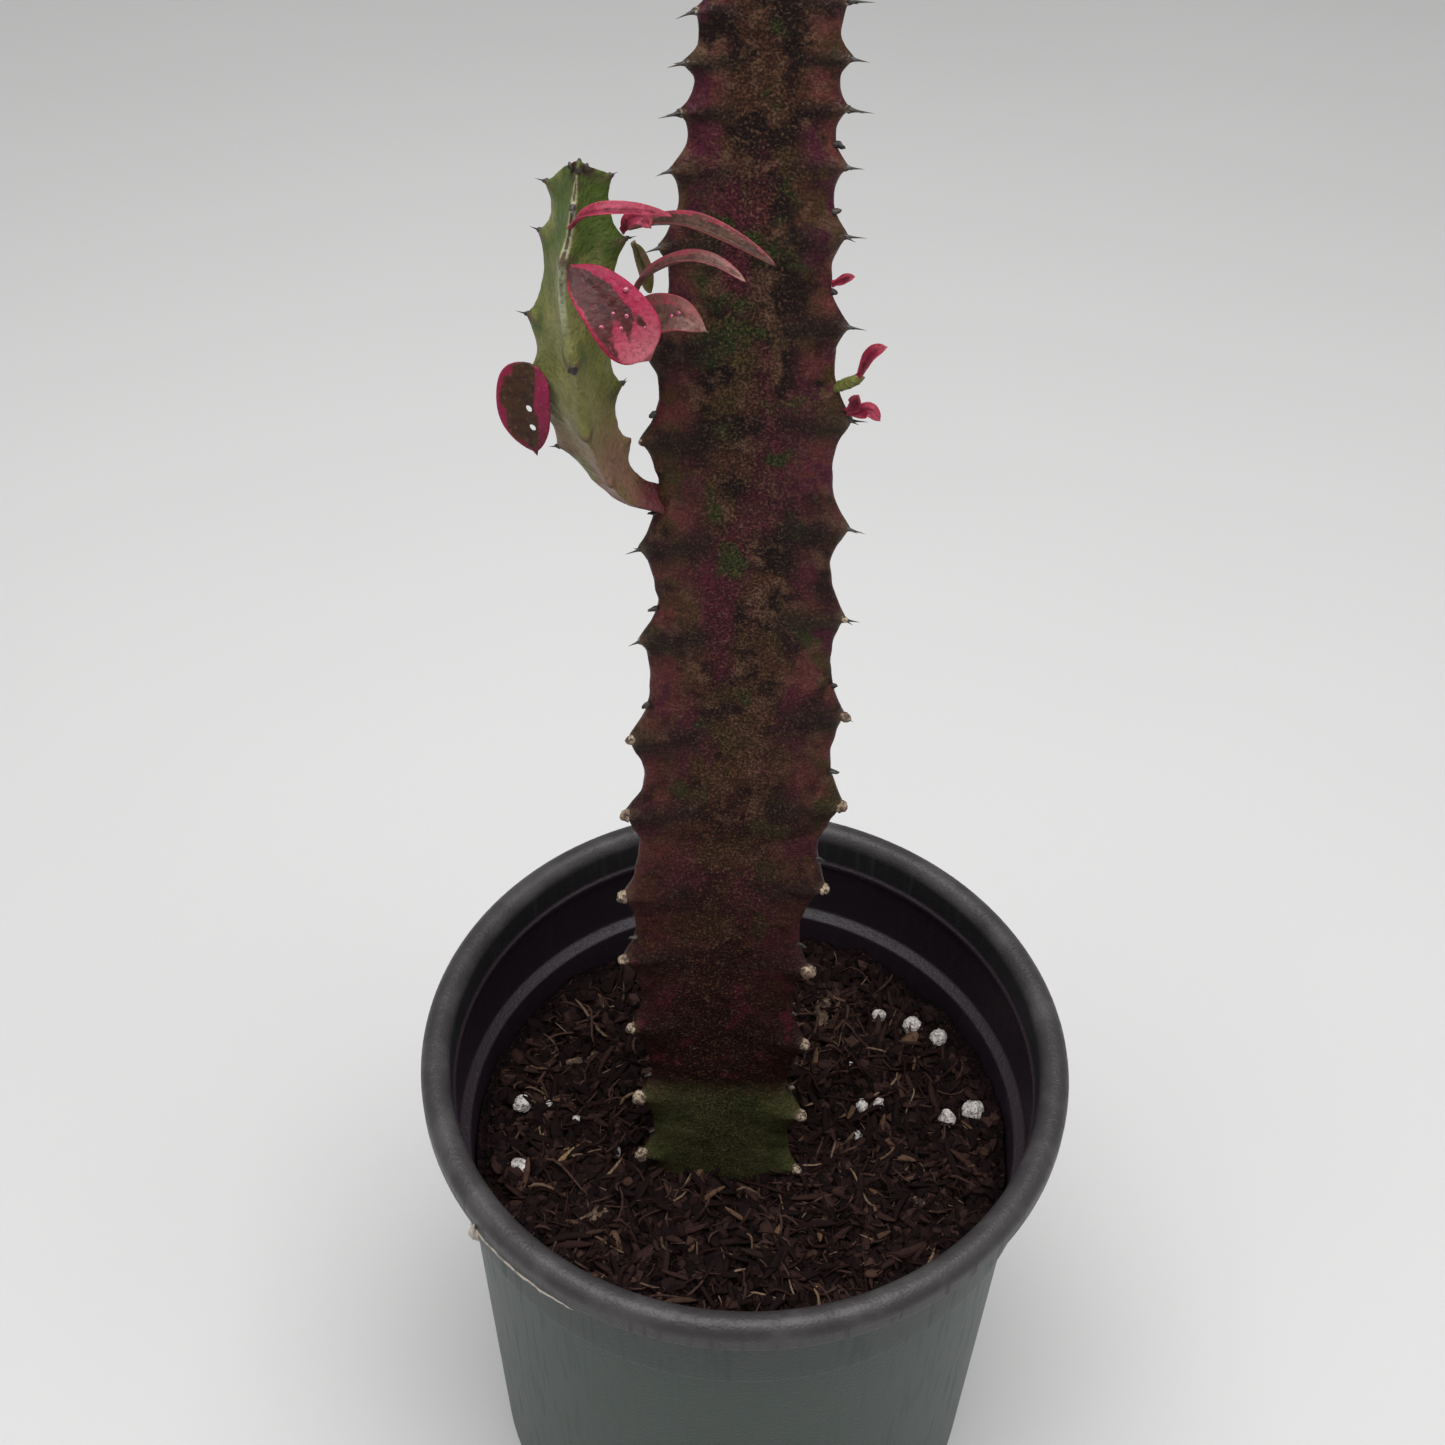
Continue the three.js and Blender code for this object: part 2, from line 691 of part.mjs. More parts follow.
function soilSolid() {
  const floorZ = POT.footHeight + POT.floorThickness + GAP;
  const rings = [];
  const ringAt = (radius, height) =>
    Array.from({ length: SOIL_SIDES }, (_, k) => {
      const angle = (k / SOIL_SIDES) * 2 * Math.PI;
      const x = radius * Math.cos(angle);
      const y = radius * Math.sin(angle);
      return new THREE.Vector3(x, y, height ?? soilHeight(x, y));
    });
  rings.push(ringAt(innerRadius(floorZ) - GAP - 0.2, floorZ));
  for (let i = SOIL_RINGS; i > 0; i -= 1) rings.push(ringAt((SOIL_RADIUS - 0.1) * (i / SOIL_RINGS)));
  const bottom = new THREE.Vector3(0, 0, floorZ);
  const top = new THREE.Vector3(0, 0, soilHeight(0, 0));
  return toSolid(skinRings(rings, bottom, top));
}

// [x, y, radius] of each perlite grain on the surface, largest first.
const PERLITE = [
  [28.5, 22.8, 2], [38, 6.5, 2], [-35.6, -8.5, 1.7], [-36.4, 4.2, 1.7], [33.8, 4.4, 1.6],
  [32.8, 21, 1.6], [23, 25.2, 1.3], [19.7, 5.8, 1.2], [-31.6, 3.6, 1.1], [22.6, 7, 1.1],
  [19.2, 0.6, 1.1], [-20.4, -4.8, 1], [-27, 0.9, 0.9], [18, 14, 0.8],
];

function lumpSolid(radius, seed, clearance) {
  const random = seededRandom(seed);
  const ball = new THREE.OctahedronGeometry(1, 1);
  ball.deleteAttribute('normal');
  ball.deleteAttribute('uv');
  const lump = mergeVertices(ball);
  const position = lump.attributes.position;
  for (let i = 0; i < position.count; i += 1) {
    const size = radius * (0.85 + 0.3 * random()) + clearance;
    position.setXYZ(i, position.getX(i) * size, position.getY(i) * size, position.getZ(i) * size * 0.85);
  }
  return toSolid(lump);
}

function grainSolid([x, y, radius], index, clearance) {
  const height = soilHeight(x, y) + 0.35 * radius;
  return lumpSolid(radius, 100 + index, clearance).translate(x, y, height);
}

// Bark chips and bits of wood lying in the surface: where, [length, width, thickness] and turn in
// degrees.
const CHIPS = [
  { name: 'bark_chip_front', at: [-23.6, -17.9], size: [8, 2.6, 1.5], turn: 40 },
  { name: 'bark_chip_back', at: [13, 25.6], size: [9, 3, 1.6], turn: 78 },
  { name: 'bark_chip_right', at: [27, -12], size: [6, 2.8, 1.5], turn: -25 },
  { name: 'bark_chip_left', at: [-27.5, 14], size: [7, 2.6, 1.4], turn: 15 },
  { name: 'wood_sliver_left', at: [-32.4, -2], size: [5, 1.2, 1], turn: 100 },
  { name: 'wood_sliver_long', at: [-26.4, -4.4], size: [8.5, 1, 1], turn: 45 },
  { name: 'wood_sliver_right', at: [12, -27], size: [8, 1.1, 1], turn: -50 },
];

function chipSolid({ at: [x, y], size: [length, width, thickness], turn }, clearance) {
  const chip = new THREE.CylinderGeometry(0.5, 0.5, 1, 7);
  chip.rotateZ(Math.PI / 2);
  chip.scale(length + 2 * clearance, width + 2 * clearance, thickness + 2 * clearance);
  chip.rotateZ(THREE.MathUtils.degToRad(turn));
  chip.translate(x, y, soilHeight(x, y) + 0.4 * thickness);
  return toSolid(chip);
}

// ---------------------------------------------------------------- the whole plant
const stem = stemSpines().reduce((solid, cone) => solid.add(cone), stemSolid(0));
const branchCore = branchSpines().reduce((solid, cone) => solid.add(cone), branchSolid(0));
const branch = largestPiece(branchCore.subtract(stemSolid(GAP)));
const bud = largestPiece(budSolid().subtract(stemSolid(GAP)));
const grains = PERLITE.map((grain, index) => grainSolid(grain, index, 0));
const chips = CHIPS.map((chip) => chipSolid(chip, 0));
let mix = soilSolid().subtract(stemSolid(GAP));
PERLITE.forEach((grain, index) => {
  mix = mix.subtract(grainSolid(grain, index, GAP));
});
CHIPS.forEach((chip) => {
  mix = mix.subtract(chipSolid(chip, GAP));
});

addPiece('pot', toGeometry(potSolid()), COLOURS.pot);
addPiece('potting_mix', toGeometry(largestPiece(mix)), COLOURS.mix);
addPiece('main_stem', toGeometry(stem), COLOURS.stem);
addPiece('side_branch', toGeometry(branch), COLOURS.branch);
addPiece('side_bud', toGeometry(bud), COLOURS.bud);
LEAVES.forEach((leaf) => addPiece(leaf.name, toGeometry(leafSolid(leaf)), COLOURS.leaf));
grains.forEach((grain, index) => {
  addPiece(`perlite_${String(index + 1).padStart(2, '0')}`, toGeometry(grain), COLOURS.perlite);
});
CHIPS.forEach((chip, index) => addPiece(chip.name, toGeometry(chips[index]), COLOURS.bark));

export default plant;
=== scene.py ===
import math
from typing import NamedTuple

import bmesh
import bpy
import numpy as np
from mathutils import Matrix, Vector


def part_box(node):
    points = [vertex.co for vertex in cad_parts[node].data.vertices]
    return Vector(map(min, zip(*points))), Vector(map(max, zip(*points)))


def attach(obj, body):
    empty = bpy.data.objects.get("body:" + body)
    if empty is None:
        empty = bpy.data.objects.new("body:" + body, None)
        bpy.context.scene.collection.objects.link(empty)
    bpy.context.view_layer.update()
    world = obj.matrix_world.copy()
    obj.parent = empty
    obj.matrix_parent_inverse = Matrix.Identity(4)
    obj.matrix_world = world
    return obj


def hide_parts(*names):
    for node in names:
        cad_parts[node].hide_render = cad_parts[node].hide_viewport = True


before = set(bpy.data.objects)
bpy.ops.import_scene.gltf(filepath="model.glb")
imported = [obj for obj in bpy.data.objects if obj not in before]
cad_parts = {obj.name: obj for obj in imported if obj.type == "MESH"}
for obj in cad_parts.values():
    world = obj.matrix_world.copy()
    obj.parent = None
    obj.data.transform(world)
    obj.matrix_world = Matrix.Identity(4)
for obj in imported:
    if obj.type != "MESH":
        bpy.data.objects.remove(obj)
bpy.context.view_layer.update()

# A potted euphorbia: a three-sided toothed stem with a side branch and small crimson leaves,
# in a round nursery pot. Tables and sizes below are millimetres in the frame of the solid
# model, with the origin on the surface under the pot, +Z up and -Y the front.
MM = 0.001
SCENE = bpy.context.scene

# ---------------------------------------------------------------- driving dimensions
POT_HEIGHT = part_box("pot")[1].z / MM
RIM_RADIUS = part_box("pot")[1].x / MM
SOIL_TOP = POT_HEIGHT - 25.4
PLANTING_DEPTH = 22

STEM_LEAN = math.radians(8)
STEM_FOOT = np.array([-0.2, -8, SOIL_TOP + 0.4])
STEM_LENGTH = 199
# [distance along the stem, sideways offset of its middle, half width between the teeth]
STEM_OUTLINE = [
    [-PLANTING_DEPTH, -3.2, 8.4],
    [0, -3.2, 10.1],
    [20, -3.3, 10.5],
    [48, -4.4, 11.5],
    [80, -2.4, 12.7],
    [105, -2.1, 11.2],
    [138, -2.6, 10.4],
    [160, -2.2, 8.7],
    [181, -1.1, 7.5],
    [190, -0.7, 6],
    [196, -0.5, 3.5],
    [STEM_LENGTH, -0.4, 1.4],
]
# How high the teeth of each rib stand, measured along the stem from its foot.
LEFT_TEETH = [5, 18, 33, 47, 59, 74, 87, 103, 117, 132, 144, 157, 166, 172.5, 178, 183.5, 188.5, 193]
RIGHT_TEETH = [3, 15.5, 31, 46, 62, 77, 92, 107.5, 121, 136, 148, 159, 167, 173.5, 179, 185, 190, 194]
BACK_TEETH = [(left + right) / 2 + 2.5 for left, right in zip(LEFT_TEETH, RIGHT_TEETH)]
STEM_TOOTH_HEIGHT = 2.5

# The branch's middle line from the stem outwards: [x, y, z, half width, twist in degrees]
BRANCH_LINE = [
    [-13, 9.8, 196.2, 1.9, 8],
    [-16.6, 9, 198.2, 2.1, 12],
    [-18.8, 7.6, 202, 2.5, 14],
    [-20.6, 6.4, 207.4, 3.2, 13],
    [-22.2, 5.5, 213.5, 4.3, 12],
    [-22.4, 5, 221, 4.3, 8],
    [-22.2, 5, 231, 4, -12],
    [-21.5, 5.2, 239.2, 3.2, -8],
    [-21.3, 5, 242.6, 2.3, -4],
    [-21.1, 4.2, 245.4, 0.6, -4],
]
BRANCH_TOOTH_HEIGHT = 1.6
# The teeth of its left, right and front rib, as shares of its length.
BRANCH_TEETH = [
    [0.27, 0.45, 0.6, 0.79, 0.915],
    [0.21, 0.38, 0.585, 0.815, 0.95],
    [0.22, 0.4, 0.58, 0.82, 0.945],
]

TOOTH_WIDTH = math.radians(13)
EDGE_ROUNDING = math.radians(7)
FACE_HOLLOW = 1.2
THIRD_TURN = 2 * math.pi / 3

SPINE_SPREAD = math.radians(11)  # from the middle of a pair to either spine

PLAIN = (0.75, 0.6)  # how pointed the stalk end and the tip of most leaves are
# name: midrib from stalk to tip, width, the way the upper side faces, fold, how pointed, finish
LEAVES = {
    "leaf_front_broad": (
        [[-21.8, -2.8, 237.3], [-19.9, -4.5, 236.6], [-17.2, -6.2, 234.7],
         [-14.9, -7.5, 232.2], [-13.2, -8, 229.9]],
        7.2, [0.35, -0.8, 0.5], 0.1, (0.8, 0.42), "variegated"),
    "leaf_upper_arched": (
        [[-21.6, -1.3, 241.1], [-20.2, -2.9, 243.3], [-18.1, -3.8, 244.5],
         [-14.6, -3, 244.2], [-10.9, -1.4, 242.9]],
        1.9, [-0.1, -0.3, 1], 0.6, PLAIN, "crimson"),
    "leaf_long_arched": (
        [[-16.2, 7.7, 235.9], [-13.2, 6.8, 237.2], [-9.3, 4.8, 238.3], [-4.9, 2.6, 237.8], [0.1, 1, 235.9]],
        2.4, [0, -0.25, 1], 0.8, PLAIN, "dusky"),
    "leaf_short_arched": (
        [[-16.2, 7.6, 225.9], [-14.3, 5.6, 231.2], [-9.7, 2.8, 235.2], [-6.4, 1, 235.9], [-3.1, 0, 234.5]],
        1.9, [0, -0.25, 1], 0.7, PLAIN, "greyish"),
    "leaf_behind_broad": (
        [[-16, 7, 224.9], [-13.4, 3, 228], [-10.1, 0.2, 229.8], [-7.2, -0.8, 228.6]],
        4.5, [-0.1, -0.75, 0.65], 0.2, (0.6, 0.85), "greyish"),
    "leaf_low_left": (
        [[-27.9, 6.1, 219], [-28.4, 5.2, 217], [-28.5, 4.4, 213.8], [-28, 3.9, 210.8], [-27.4, 3.6, 208.2]],
        6.8, [-0.25, -0.95, 0.1], 0.12, (0.5, 0.7), "lowest"),
    "leaf_small_curled": (
        [[-16.8, 6.5, 236.3], [-15.9, 5.6, 238.2], [-14.6, 5, 238.9], [-13.6, 4.6, 238]],
        2.1, [0.1, -0.6, 0.8], 0.3, PLAIN, "crimson"),
    "leaf_rear_strap": (
        [[-15.9, 8.7, 233.6], [-15.3, 10.4, 230.6], [-14.8, 12, 227.6], [-14.2, 13.4, 224.4]],
        2.6, [0.5, -0.6, 0.6], 0.2, PLAIN, "olive"),
    "leaf_edge_speck": (
        [[7.6, 12.4, 227.3], [8.3, 11.9, 228], [9.2, 11.4, 228.6]],
        1.2, [-0.4, -0.6, 0.6], 0.2, PLAIN, "crimson"),
    "bud_leaf": (
        [[10.8, 9.9, 216.8], [11.3, 9.3, 218.6], [12.1, 8.7, 220.3], [13.3, 8.3, 221.3]],
        2.2, [-0.7, -0.4, 0.6], 0.3, PLAIN, "crimson"),
    "edge_leaf_upper": (
        [[10.2, 9.2, 212.4], [10.3, 8.7, 213.3], [10.5, 8.2, 214.6]],
        1.9, [-0.5, -0.8, 0.2], 0.25, PLAIN, "crimson"),
    "edge_leaf_lower": (
        [[10.9, 9, 211.7], [12, 8.5, 212.3], [13.2, 8.1, 211.2]],
        1.9, [0.1, -0.7, 0.7], 0.25, PLAIN, "crimson"),
    "tip_leaf_left": (
        [[-5.2, 18.7, 268.9], [-6.4, 18.2, 271.8], [-8.6, 18, 274.6], [-11.4, 17.8, 275.4]],
        4, [0.8, -0.1, 0.6], 0.3, PLAIN, "variegated"),
    "tip_leaf_right": (
        [[4, 18.8, 269.4], [5.6, 18.2, 272.3], [8, 18, 275], [10.8, 17.8, 275.8]],
        4, [-0.8, -0.1, 0.6], 0.3, PLAIN, "variegated"),
    "tip_leaf_back": (
        [[-0.6, 25.2, 269.8], [-0.5, 27.2, 272.8], [-0.4, 30, 275], [-0.4, 32.8, 275.4]],
        3.8, [0, -0.8, 0.6], 0.3, PLAIN, "variegated"),
}

# Where the small leaves on the right rib spring from: the tip of the bud, and the skin.
LEAF_ROOTS = {
    "leaf_edge_speck": [6.8, 12.9, 226.6],
    "bud_leaf": [10.3, 10.2, 215.7],
    "edge_leaf_upper": [9.3, 10, 211],
    "edge_leaf_lower": [9.4, 10, 210.9],
}

BUD_LINE = [[8, 11.8, 213.2], [9.5, 10.8, 214.6], [10.5, 10.1, 215.9]]
BUD_RADII = [0.9, 1, 0.7]

PERLITE_COUNT = 14
CHIPS = ["bark_chip_front", "bark_chip_back", "bark_chip_right", "bark_chip_left"]
SLIVERS = ["wood_sliver_left", "wood_sliver_long", "wood_sliver_right"]


# ---------------------------------------------------------------- camera
def place_camera():
    """Looks down on the plant from the front, from just above its tip."""
    pitch, yaw, roll = 0.770, -0.024, 0.021
    forward = Vector((math.sin(yaw) * math.cos(pitch), math.cos(yaw) * math.cos(pitch), -math.sin(pitch)))
    level = Vector((math.cos(yaw), -math.sin(yaw), 0))
    upright = level.cross(forward)
    right = math.cos(roll) * level + math.sin(roll) * upright
    up = math.cos(roll) * upright - math.sin(roll) * level
    data = bpy.data.cameras.new("camera")
    data.sensor_width = 36
    data.lens = 49.83
    data.clip_start = 0.01
    camera = bpy.data.objects.new("camera", data)
    turn = Matrix((right, up, -forward)).transposed().to_4x4()
    camera.matrix_world = Matrix.Translation((0, -0.18816, POT_HEIGHT * MM + 0.25061)) @ turn
    SCENE.collection.objects.link(camera)
    SCENE.camera = camera


place_camera()


# ---------------------------------------------------------------- small helpers
def unit(vectors):
    """The vectors, each brought to a length of one."""
    return vectors / np.linalg.norm(vectors, axis=-1, keepdims=True)


def blend(a, b, share):
    """Goes from a to b as the share goes from 0 to 1."""
    return a + (b - a) * share


def bell(distance, width):
    """1 at no distance, falling off smoothly over the width."""
    return np.exp(-((distance / width) ** 2))


def smooth_table(rows):
    """A function that reads a smooth curve through the rows by the value in their first column."""
    rows = np.array(rows, float)
    keys = rows[:, 0]
    last = len(rows) - 1

    def read(position):
        position = np.asarray(position, float)
        i = np.clip(np.searchsorted(keys, position, side="left") - 1, 0, last - 1)
        before, here, there, after = (rows[np.clip(i + k, 0, last)] for k in (-1, 0, 1, 2))
        span = (there - here)[..., :1]
        t = (position[..., None] - here[..., :1]) / span
        slope_in = (there - before) * span / (there - before)[..., :1]
        slope_out = (after - here) * span / (after - here)[..., :1]
        t2, t3 = t * t, t * t * t
        return (
            (2 * t3 - 3 * t2 + 1) * here
            + (t3 - 2 * t2 + t) * slope_in
            + (3 * t2 - 2 * t3) * there
            + (t3 - t2) * slope_out
        )

    return read


class Route:
    """A smooth curve through points, even where they are unevenly spaced."""

    def __init__(self, points):
        points = np.array(points, float)
        first = 2 * points[0] - points[1]
        final = 2 * points[-1] - points[-2]
        self.knots = np.vstack([first, points, final])
        self.spans = len(points) - 1

    def point(self, shares):
        place = np.asarray(shares, float) * self.spans
        i = np.clip(place.astype(int), 0, self.spans - 1)
        t = (place - i)[..., None]
        a, b, c, d = (self.knots[i + k] for k in range(4))
        ab, bc, cd = (
            np.sqrt(np.linalg.norm(q - p, axis=-1, keepdims=True))
            for p, q in ((a, b), (b, c), (c, d))
        )
        leave = ((b - a) / ab - (c - a) / (ab + bc) + (c - b) / bc) * bc
        arrive = ((c - b) / bc - (d - b) / (bc + cd) + (d - c) / cd) * bc
        return (
            b
            + leave * t
            + (3 * (c - b) - 2 * leave - arrive) * t**2
            + (2 * (b - c) + leave + arrive) * t**3
        )

    def direction(self, shares):
        shares = np.asarray(shares, float)
        step = 1e-4
        ahead = self.point(np.minimum(shares + step, 1))
        behind = self.point(np.maximum(shares - step, 0))
        return unit(ahead - behind)

    def by_length(self, shares):
        """The parameter at shares of the curve's length."""
        fine = np.linspace(0, 1, 401)
        steps = np.linalg.norm(np.diff(self.point(fine), axis=0), axis=1)
        lengths = np.concatenate([[0], np.cumsum(steps)])
        return np.interp(np.asarray(shares) * lengths[-1], lengths, fine)


def ripple(points, size, seed):
    """Gentle lumps about size across, from -1 to 1, the same for the same seed."""
    draw = np.random.default_rng(seed)
    total = 0
    waves = 9
    for _ in range(waves):
        way = unit(draw.normal(size=3)) * 2 * math.pi / size * draw.uniform(0.6, 1.5)
        total = total + np.sin(points @ way + draw.uniform(0, 2 * math.pi))
    return total / math.sqrt(waves) / 1.4


def grid_faces(rows, columns, wraps=True):
    """Quads between the neighbouring points of a grid that is stored row by row."""
    span = columns if wraps else columns - 1
    row, column = np.meshgrid(np.arange(rows - 1), np.arange(span), indexing="ij")
    here = row * columns + column
    beside = row * columns + (column + 1) % columns
    return np.stack([here, beside, beside + columns, here + columns], -1).reshape(-1, 4).tolist()


def closed_skin(rings, start, end):
    """Points and faces of a stack of closed rings, with a middle point at each end."""
    rows, columns = rings.shape[:2]
    points = np.vstack([rings.reshape(-1, 3), start, end])
    foot, tip = len(points) - 2, len(points) - 1
    top = (rows - 1) * columns
    faces = grid_faces(rows, columns)
    for k in range(columns):
        beside = (k + 1) % columns
        faces.append((foot, beside, k))
        faces.append((tip, top + k, top + beside))
    return points, faces


def ball(detail):
    """Points and faces of a ball with a radius of one."""
    sphere = bmesh.new()
    bmesh.ops.create_icosphere(sphere, subdivisions=detail, radius=1)
    points = np.array([v.co for v in sphere.verts])
    faces = [[v.index for v in face.verts] for face in sphere.faces]
    sphere.free()
    return points, faces


def new_piece(name, points, faces, material, smooth=True, **attributes):
    """A mesh object from points in millimetres, its faces turned outwards."""
    mesh = bpy.data.meshes.new(name)
    mesh.from_pydata((np.asarray(points) * MM).tolist(), [], faces)
    for key, values in attributes.items():
        layer = mesh.attributes.new(key, "FLOAT", "POINT")
        layer.data.foreach_set("value", np.asarray(values, np.float32).ravel())
    shell = bmesh.new()
    shell.from_mesh(mesh)
    bmesh.ops.recalc_face_normals(shell, faces=shell.faces)
    shell.to_mesh(mesh)
    shell.free()
    mesh.polygons.foreach_set("use_smooth", [smooth] * len(mesh.polygons))
    mesh.materials.append(material)
    piece = bpy.data.objects.new(name, mesh)
    SCENE.collection.objects.link(piece)
    return piece


def keep(piece, slot, *nodes):
    """The piece goes with the plant and stands for these nodes; the slot is not used."""
    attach(piece, "root")
    if nodes:
        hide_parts(*nodes)
    return piece


def apply_modifiers(piece):
    """Turns a piece and its modifiers into one plain mesh."""
    depsgraph = bpy.context.evaluated_depsgraph_get()
    made = piece.evaluated_get(depsgraph)
    mesh = bpy.data.meshes.new_from_object(made, preserve_all_data_layers=True, depsgraph=depsgraph)
    piece.modifiers.clear()
    piece.data = mesh
    return piece


# ---------------------------------------------------------------- materials
def colour(code):
    """An sRGB hex colour as linear red, green, blue and alpha."""
    parts = [int(code[i:i + 2], 16) / 255 for i in (1, 3, 5)]
    return [c / 12.92 if c <= 0.04045 else ((c + 0.055) / 1.055) ** 2.4 for c in parts] + [1]


def add(tree, kind, values=None, **settings):
    """Adds a node, sets it up and links or fills its inputs, and returns the node."""
    node = tree.nodes.new(kind)
    for key, value in settings.items():
        setattr(node, key, value)
    for key, value in (values or {}).items():
        if isinstance(value, bpy.types.NodeSocket):
            tree.links.new(value, node.inputs[key])
        else:
            node.inputs[key].default_value = value
    return node


class Patches(NamedTuple):
    """Soft blotches about size mm across: 0 where the noise is under low, 1 where it is over high."""

    size: float
    low: float
    high: float
    detail: float = 3
    seed: float = 0
    stretch: tuple = (1, 1, 1)
    ramp: str = "SMOOTHSTEP"


class Zone(NamedTuple):
    """0 where a value is under low, 1 where it is over high; with low the larger, it falls instead."""

    value: object  # a socket, or the name of what the piece carries on its points
    low: float
    high: float
    ramp: str = "SMOOTHSTEP"


class Finish:
    """A material: colours laid over each other, relief and gloss, each placed by patches and zones."""

    def __init__(self, name):
        self.material = bpy.data.materials.new(name)
        self.material.use_nodes = True
        self.tree = self.material.node_tree
        self.shader = self.tree.nodes["Principled BSDF"]
        self.place = add(self.tree, "ShaderNodeTexCoord").outputs["Object"]

    def mask(self, share, *parts):
        """The product of the parts, at most share: a part is patches, a zone or an attribute's name."""
        result = share
        for part in parts:
            if isinstance(part, str):
                part = Zone(part, 0, 1, "LINEAR")
            if isinstance(part, Patches):
                where = add(self.tree, "ShaderNodeMapping", {
                    "Vector": self.place, "Location": [part.seed] * 3, "Scale": part.stretch})
                noise = add(self.tree, "ShaderNodeTexNoise", {
                    "Vector": where.outputs[0], "Scale": 1 / (part.size * MM), "Detail": part.detail})
                value = noise.outputs[0]
            elif isinstance(part.value, str):
                value = add(self.tree, "ShaderNodeAttribute", attribute_name=part.value).outputs["Fac"]
            else:
                value = part.value
            ramp = add(self.tree, "ShaderNodeMapRange",
                       {"Value": value, "From Min": part.low, "From Max": part.high},
                       interpolation_type=part.ramp)
            result = add(self.tree, "ShaderNodeMath", {0: result, 1: ramp.outputs[0]},
                         operation="MULTIPLY").outputs[0]
        return result

    def paint(self, base, layers):
        """Lays colours over the base one after another; a layer is its colour, share and parts."""
        result = colour(base)
        for code, share, *parts in layers:
            result = add(self.tree, "ShaderNodeMix",
                         {0: self.mask(share, *parts), 6: result, 7: colour(code)},
                         data_type="RGBA").outputs[2]
        self.tree.links.new(result, self.shader.inputs["Base Color"])

    def bump(self, depth, *heights):
        """Fine relief: the sum of heights, each a list of parts, standing depth mm high."""
        total = 0
        for parts in heights:
            total = add(self.tree, "ShaderNodeMath", {0: total, 1: self.mask(1, *parts)},
                        operation="ADD").outputs[0]
        relief = add(self.tree, "ShaderNodeBump", {"Height": total, "Distance": depth * MM, "Strength": 1})
        self.tree.links.new(relief.outputs[0], self.shader.inputs["Normal"])

    def gloss(self, low, high, *parts):
        """Roughness that goes from low to high with the parts."""
        rough = add(self.tree, "ShaderNodeMapRange",
                    {"Value": self.mask(1, *parts), "To Min": low, "To Max": high})
        self.tree.links.new(rough.outputs[0], self.shader.inputs["Roughness"])

    def set(self, **values):
        """Sets the shader's own sockets, and returns the finished material."""
        for key, value in values.items():
            self.shader.inputs[key.replace("_", " ").title().replace("Ior", "IOR")].default_value = value
        return self.material


def stem_skin():
    """Old succulent skin: waxy, maroon-brown with olive mottling, and dusted with fine dark grains; painted
    shade darkens it towards its foot and at its teeth.
    """
    mid_face = Zone("edge", 1 / 0.6, 0, "LINEAR")
    off_tooth = Zone("tooth", 1, 0, "LINEAR")
    grain = [Patches(0.32, 0.46, 0.6), mid_face]
    pale = [Patches(0.36, 0.5, 0.66, seed=3), mid_face]
    foot = Zone("rise", 0.115, 0.085)
    skin = Finish("waxy_maroon_stem_skin")
    skin.paint("#4c2f22", [
        ("#4a3a22", 1, Patches(11, 0.42, 0.58, 5, 1)),
        ("#211112", 1, Patches(5, 0.44, 0.57, 6, 2)),
        ("#624637", 1, Patches(3, 0.5, 0.64, 6, 13)),
        ("#55202e", 1, Patches(7, 0.48, 0.62, 5, 5, stretch=(1, 1, 0.3)), Zone("edge", 0.9, 0.5)),
        ("#323a1c", 1, Patches(6, 0.56, 0.66, 5, 11)),
        ("#703438", 0.75, Zone("edge", 0.3, 0.95), off_tooth, Patches(6, 0.44, 0.6, seed=9)),
        ("#4e1f30", 1, Zone("edge", 0.3, 0.9), Patches(4.5, 0.52, 0.64, seed=15)),
        # Painted shade: the stem is painted darker towards its foot, where it stands low in the pot under
        # light from above.
        ("#38120f", 0.8, Zone("rise", 0.62, 0.12)),
        # Painted shade: a dark band at each tooth beside the rib's edge, where the tooth shades the face.
        ("#221818", 0.8, "tooth", Zone("edge", 0, 0.35),
         Patches(6, 0.3, 0.52, 5, 7, stretch=(0.6, 0.6, 1.3))),
        # More painted shade, deepest near the foot.
        ("#1e0708", 0.85, Zone("rise", 0.36, 0.12)),
        ("#45141f", 1, Zone("rise", 0.4, 0.2), Patches(3.5, 0.55, 0.68, 5, 19)),
        ("#3f4025", 1, foot),
        ("#2b3216", 0.7, foot, Patches(4, 0.45, 0.6, seed=17)),
        ("#84684c", 0.36, *pale),
        ("#150e0d", 0.65, *grain),
        ("#7c6a58", 1, "cork"),
    ])
    skin.gloss(0.45, 0.7, *grain)
    skin.bump(0.2, grain, [Patches(2.4, 0.3, 0.7, seed=4)])
    return skin.set(specular_ior_level=0.14)


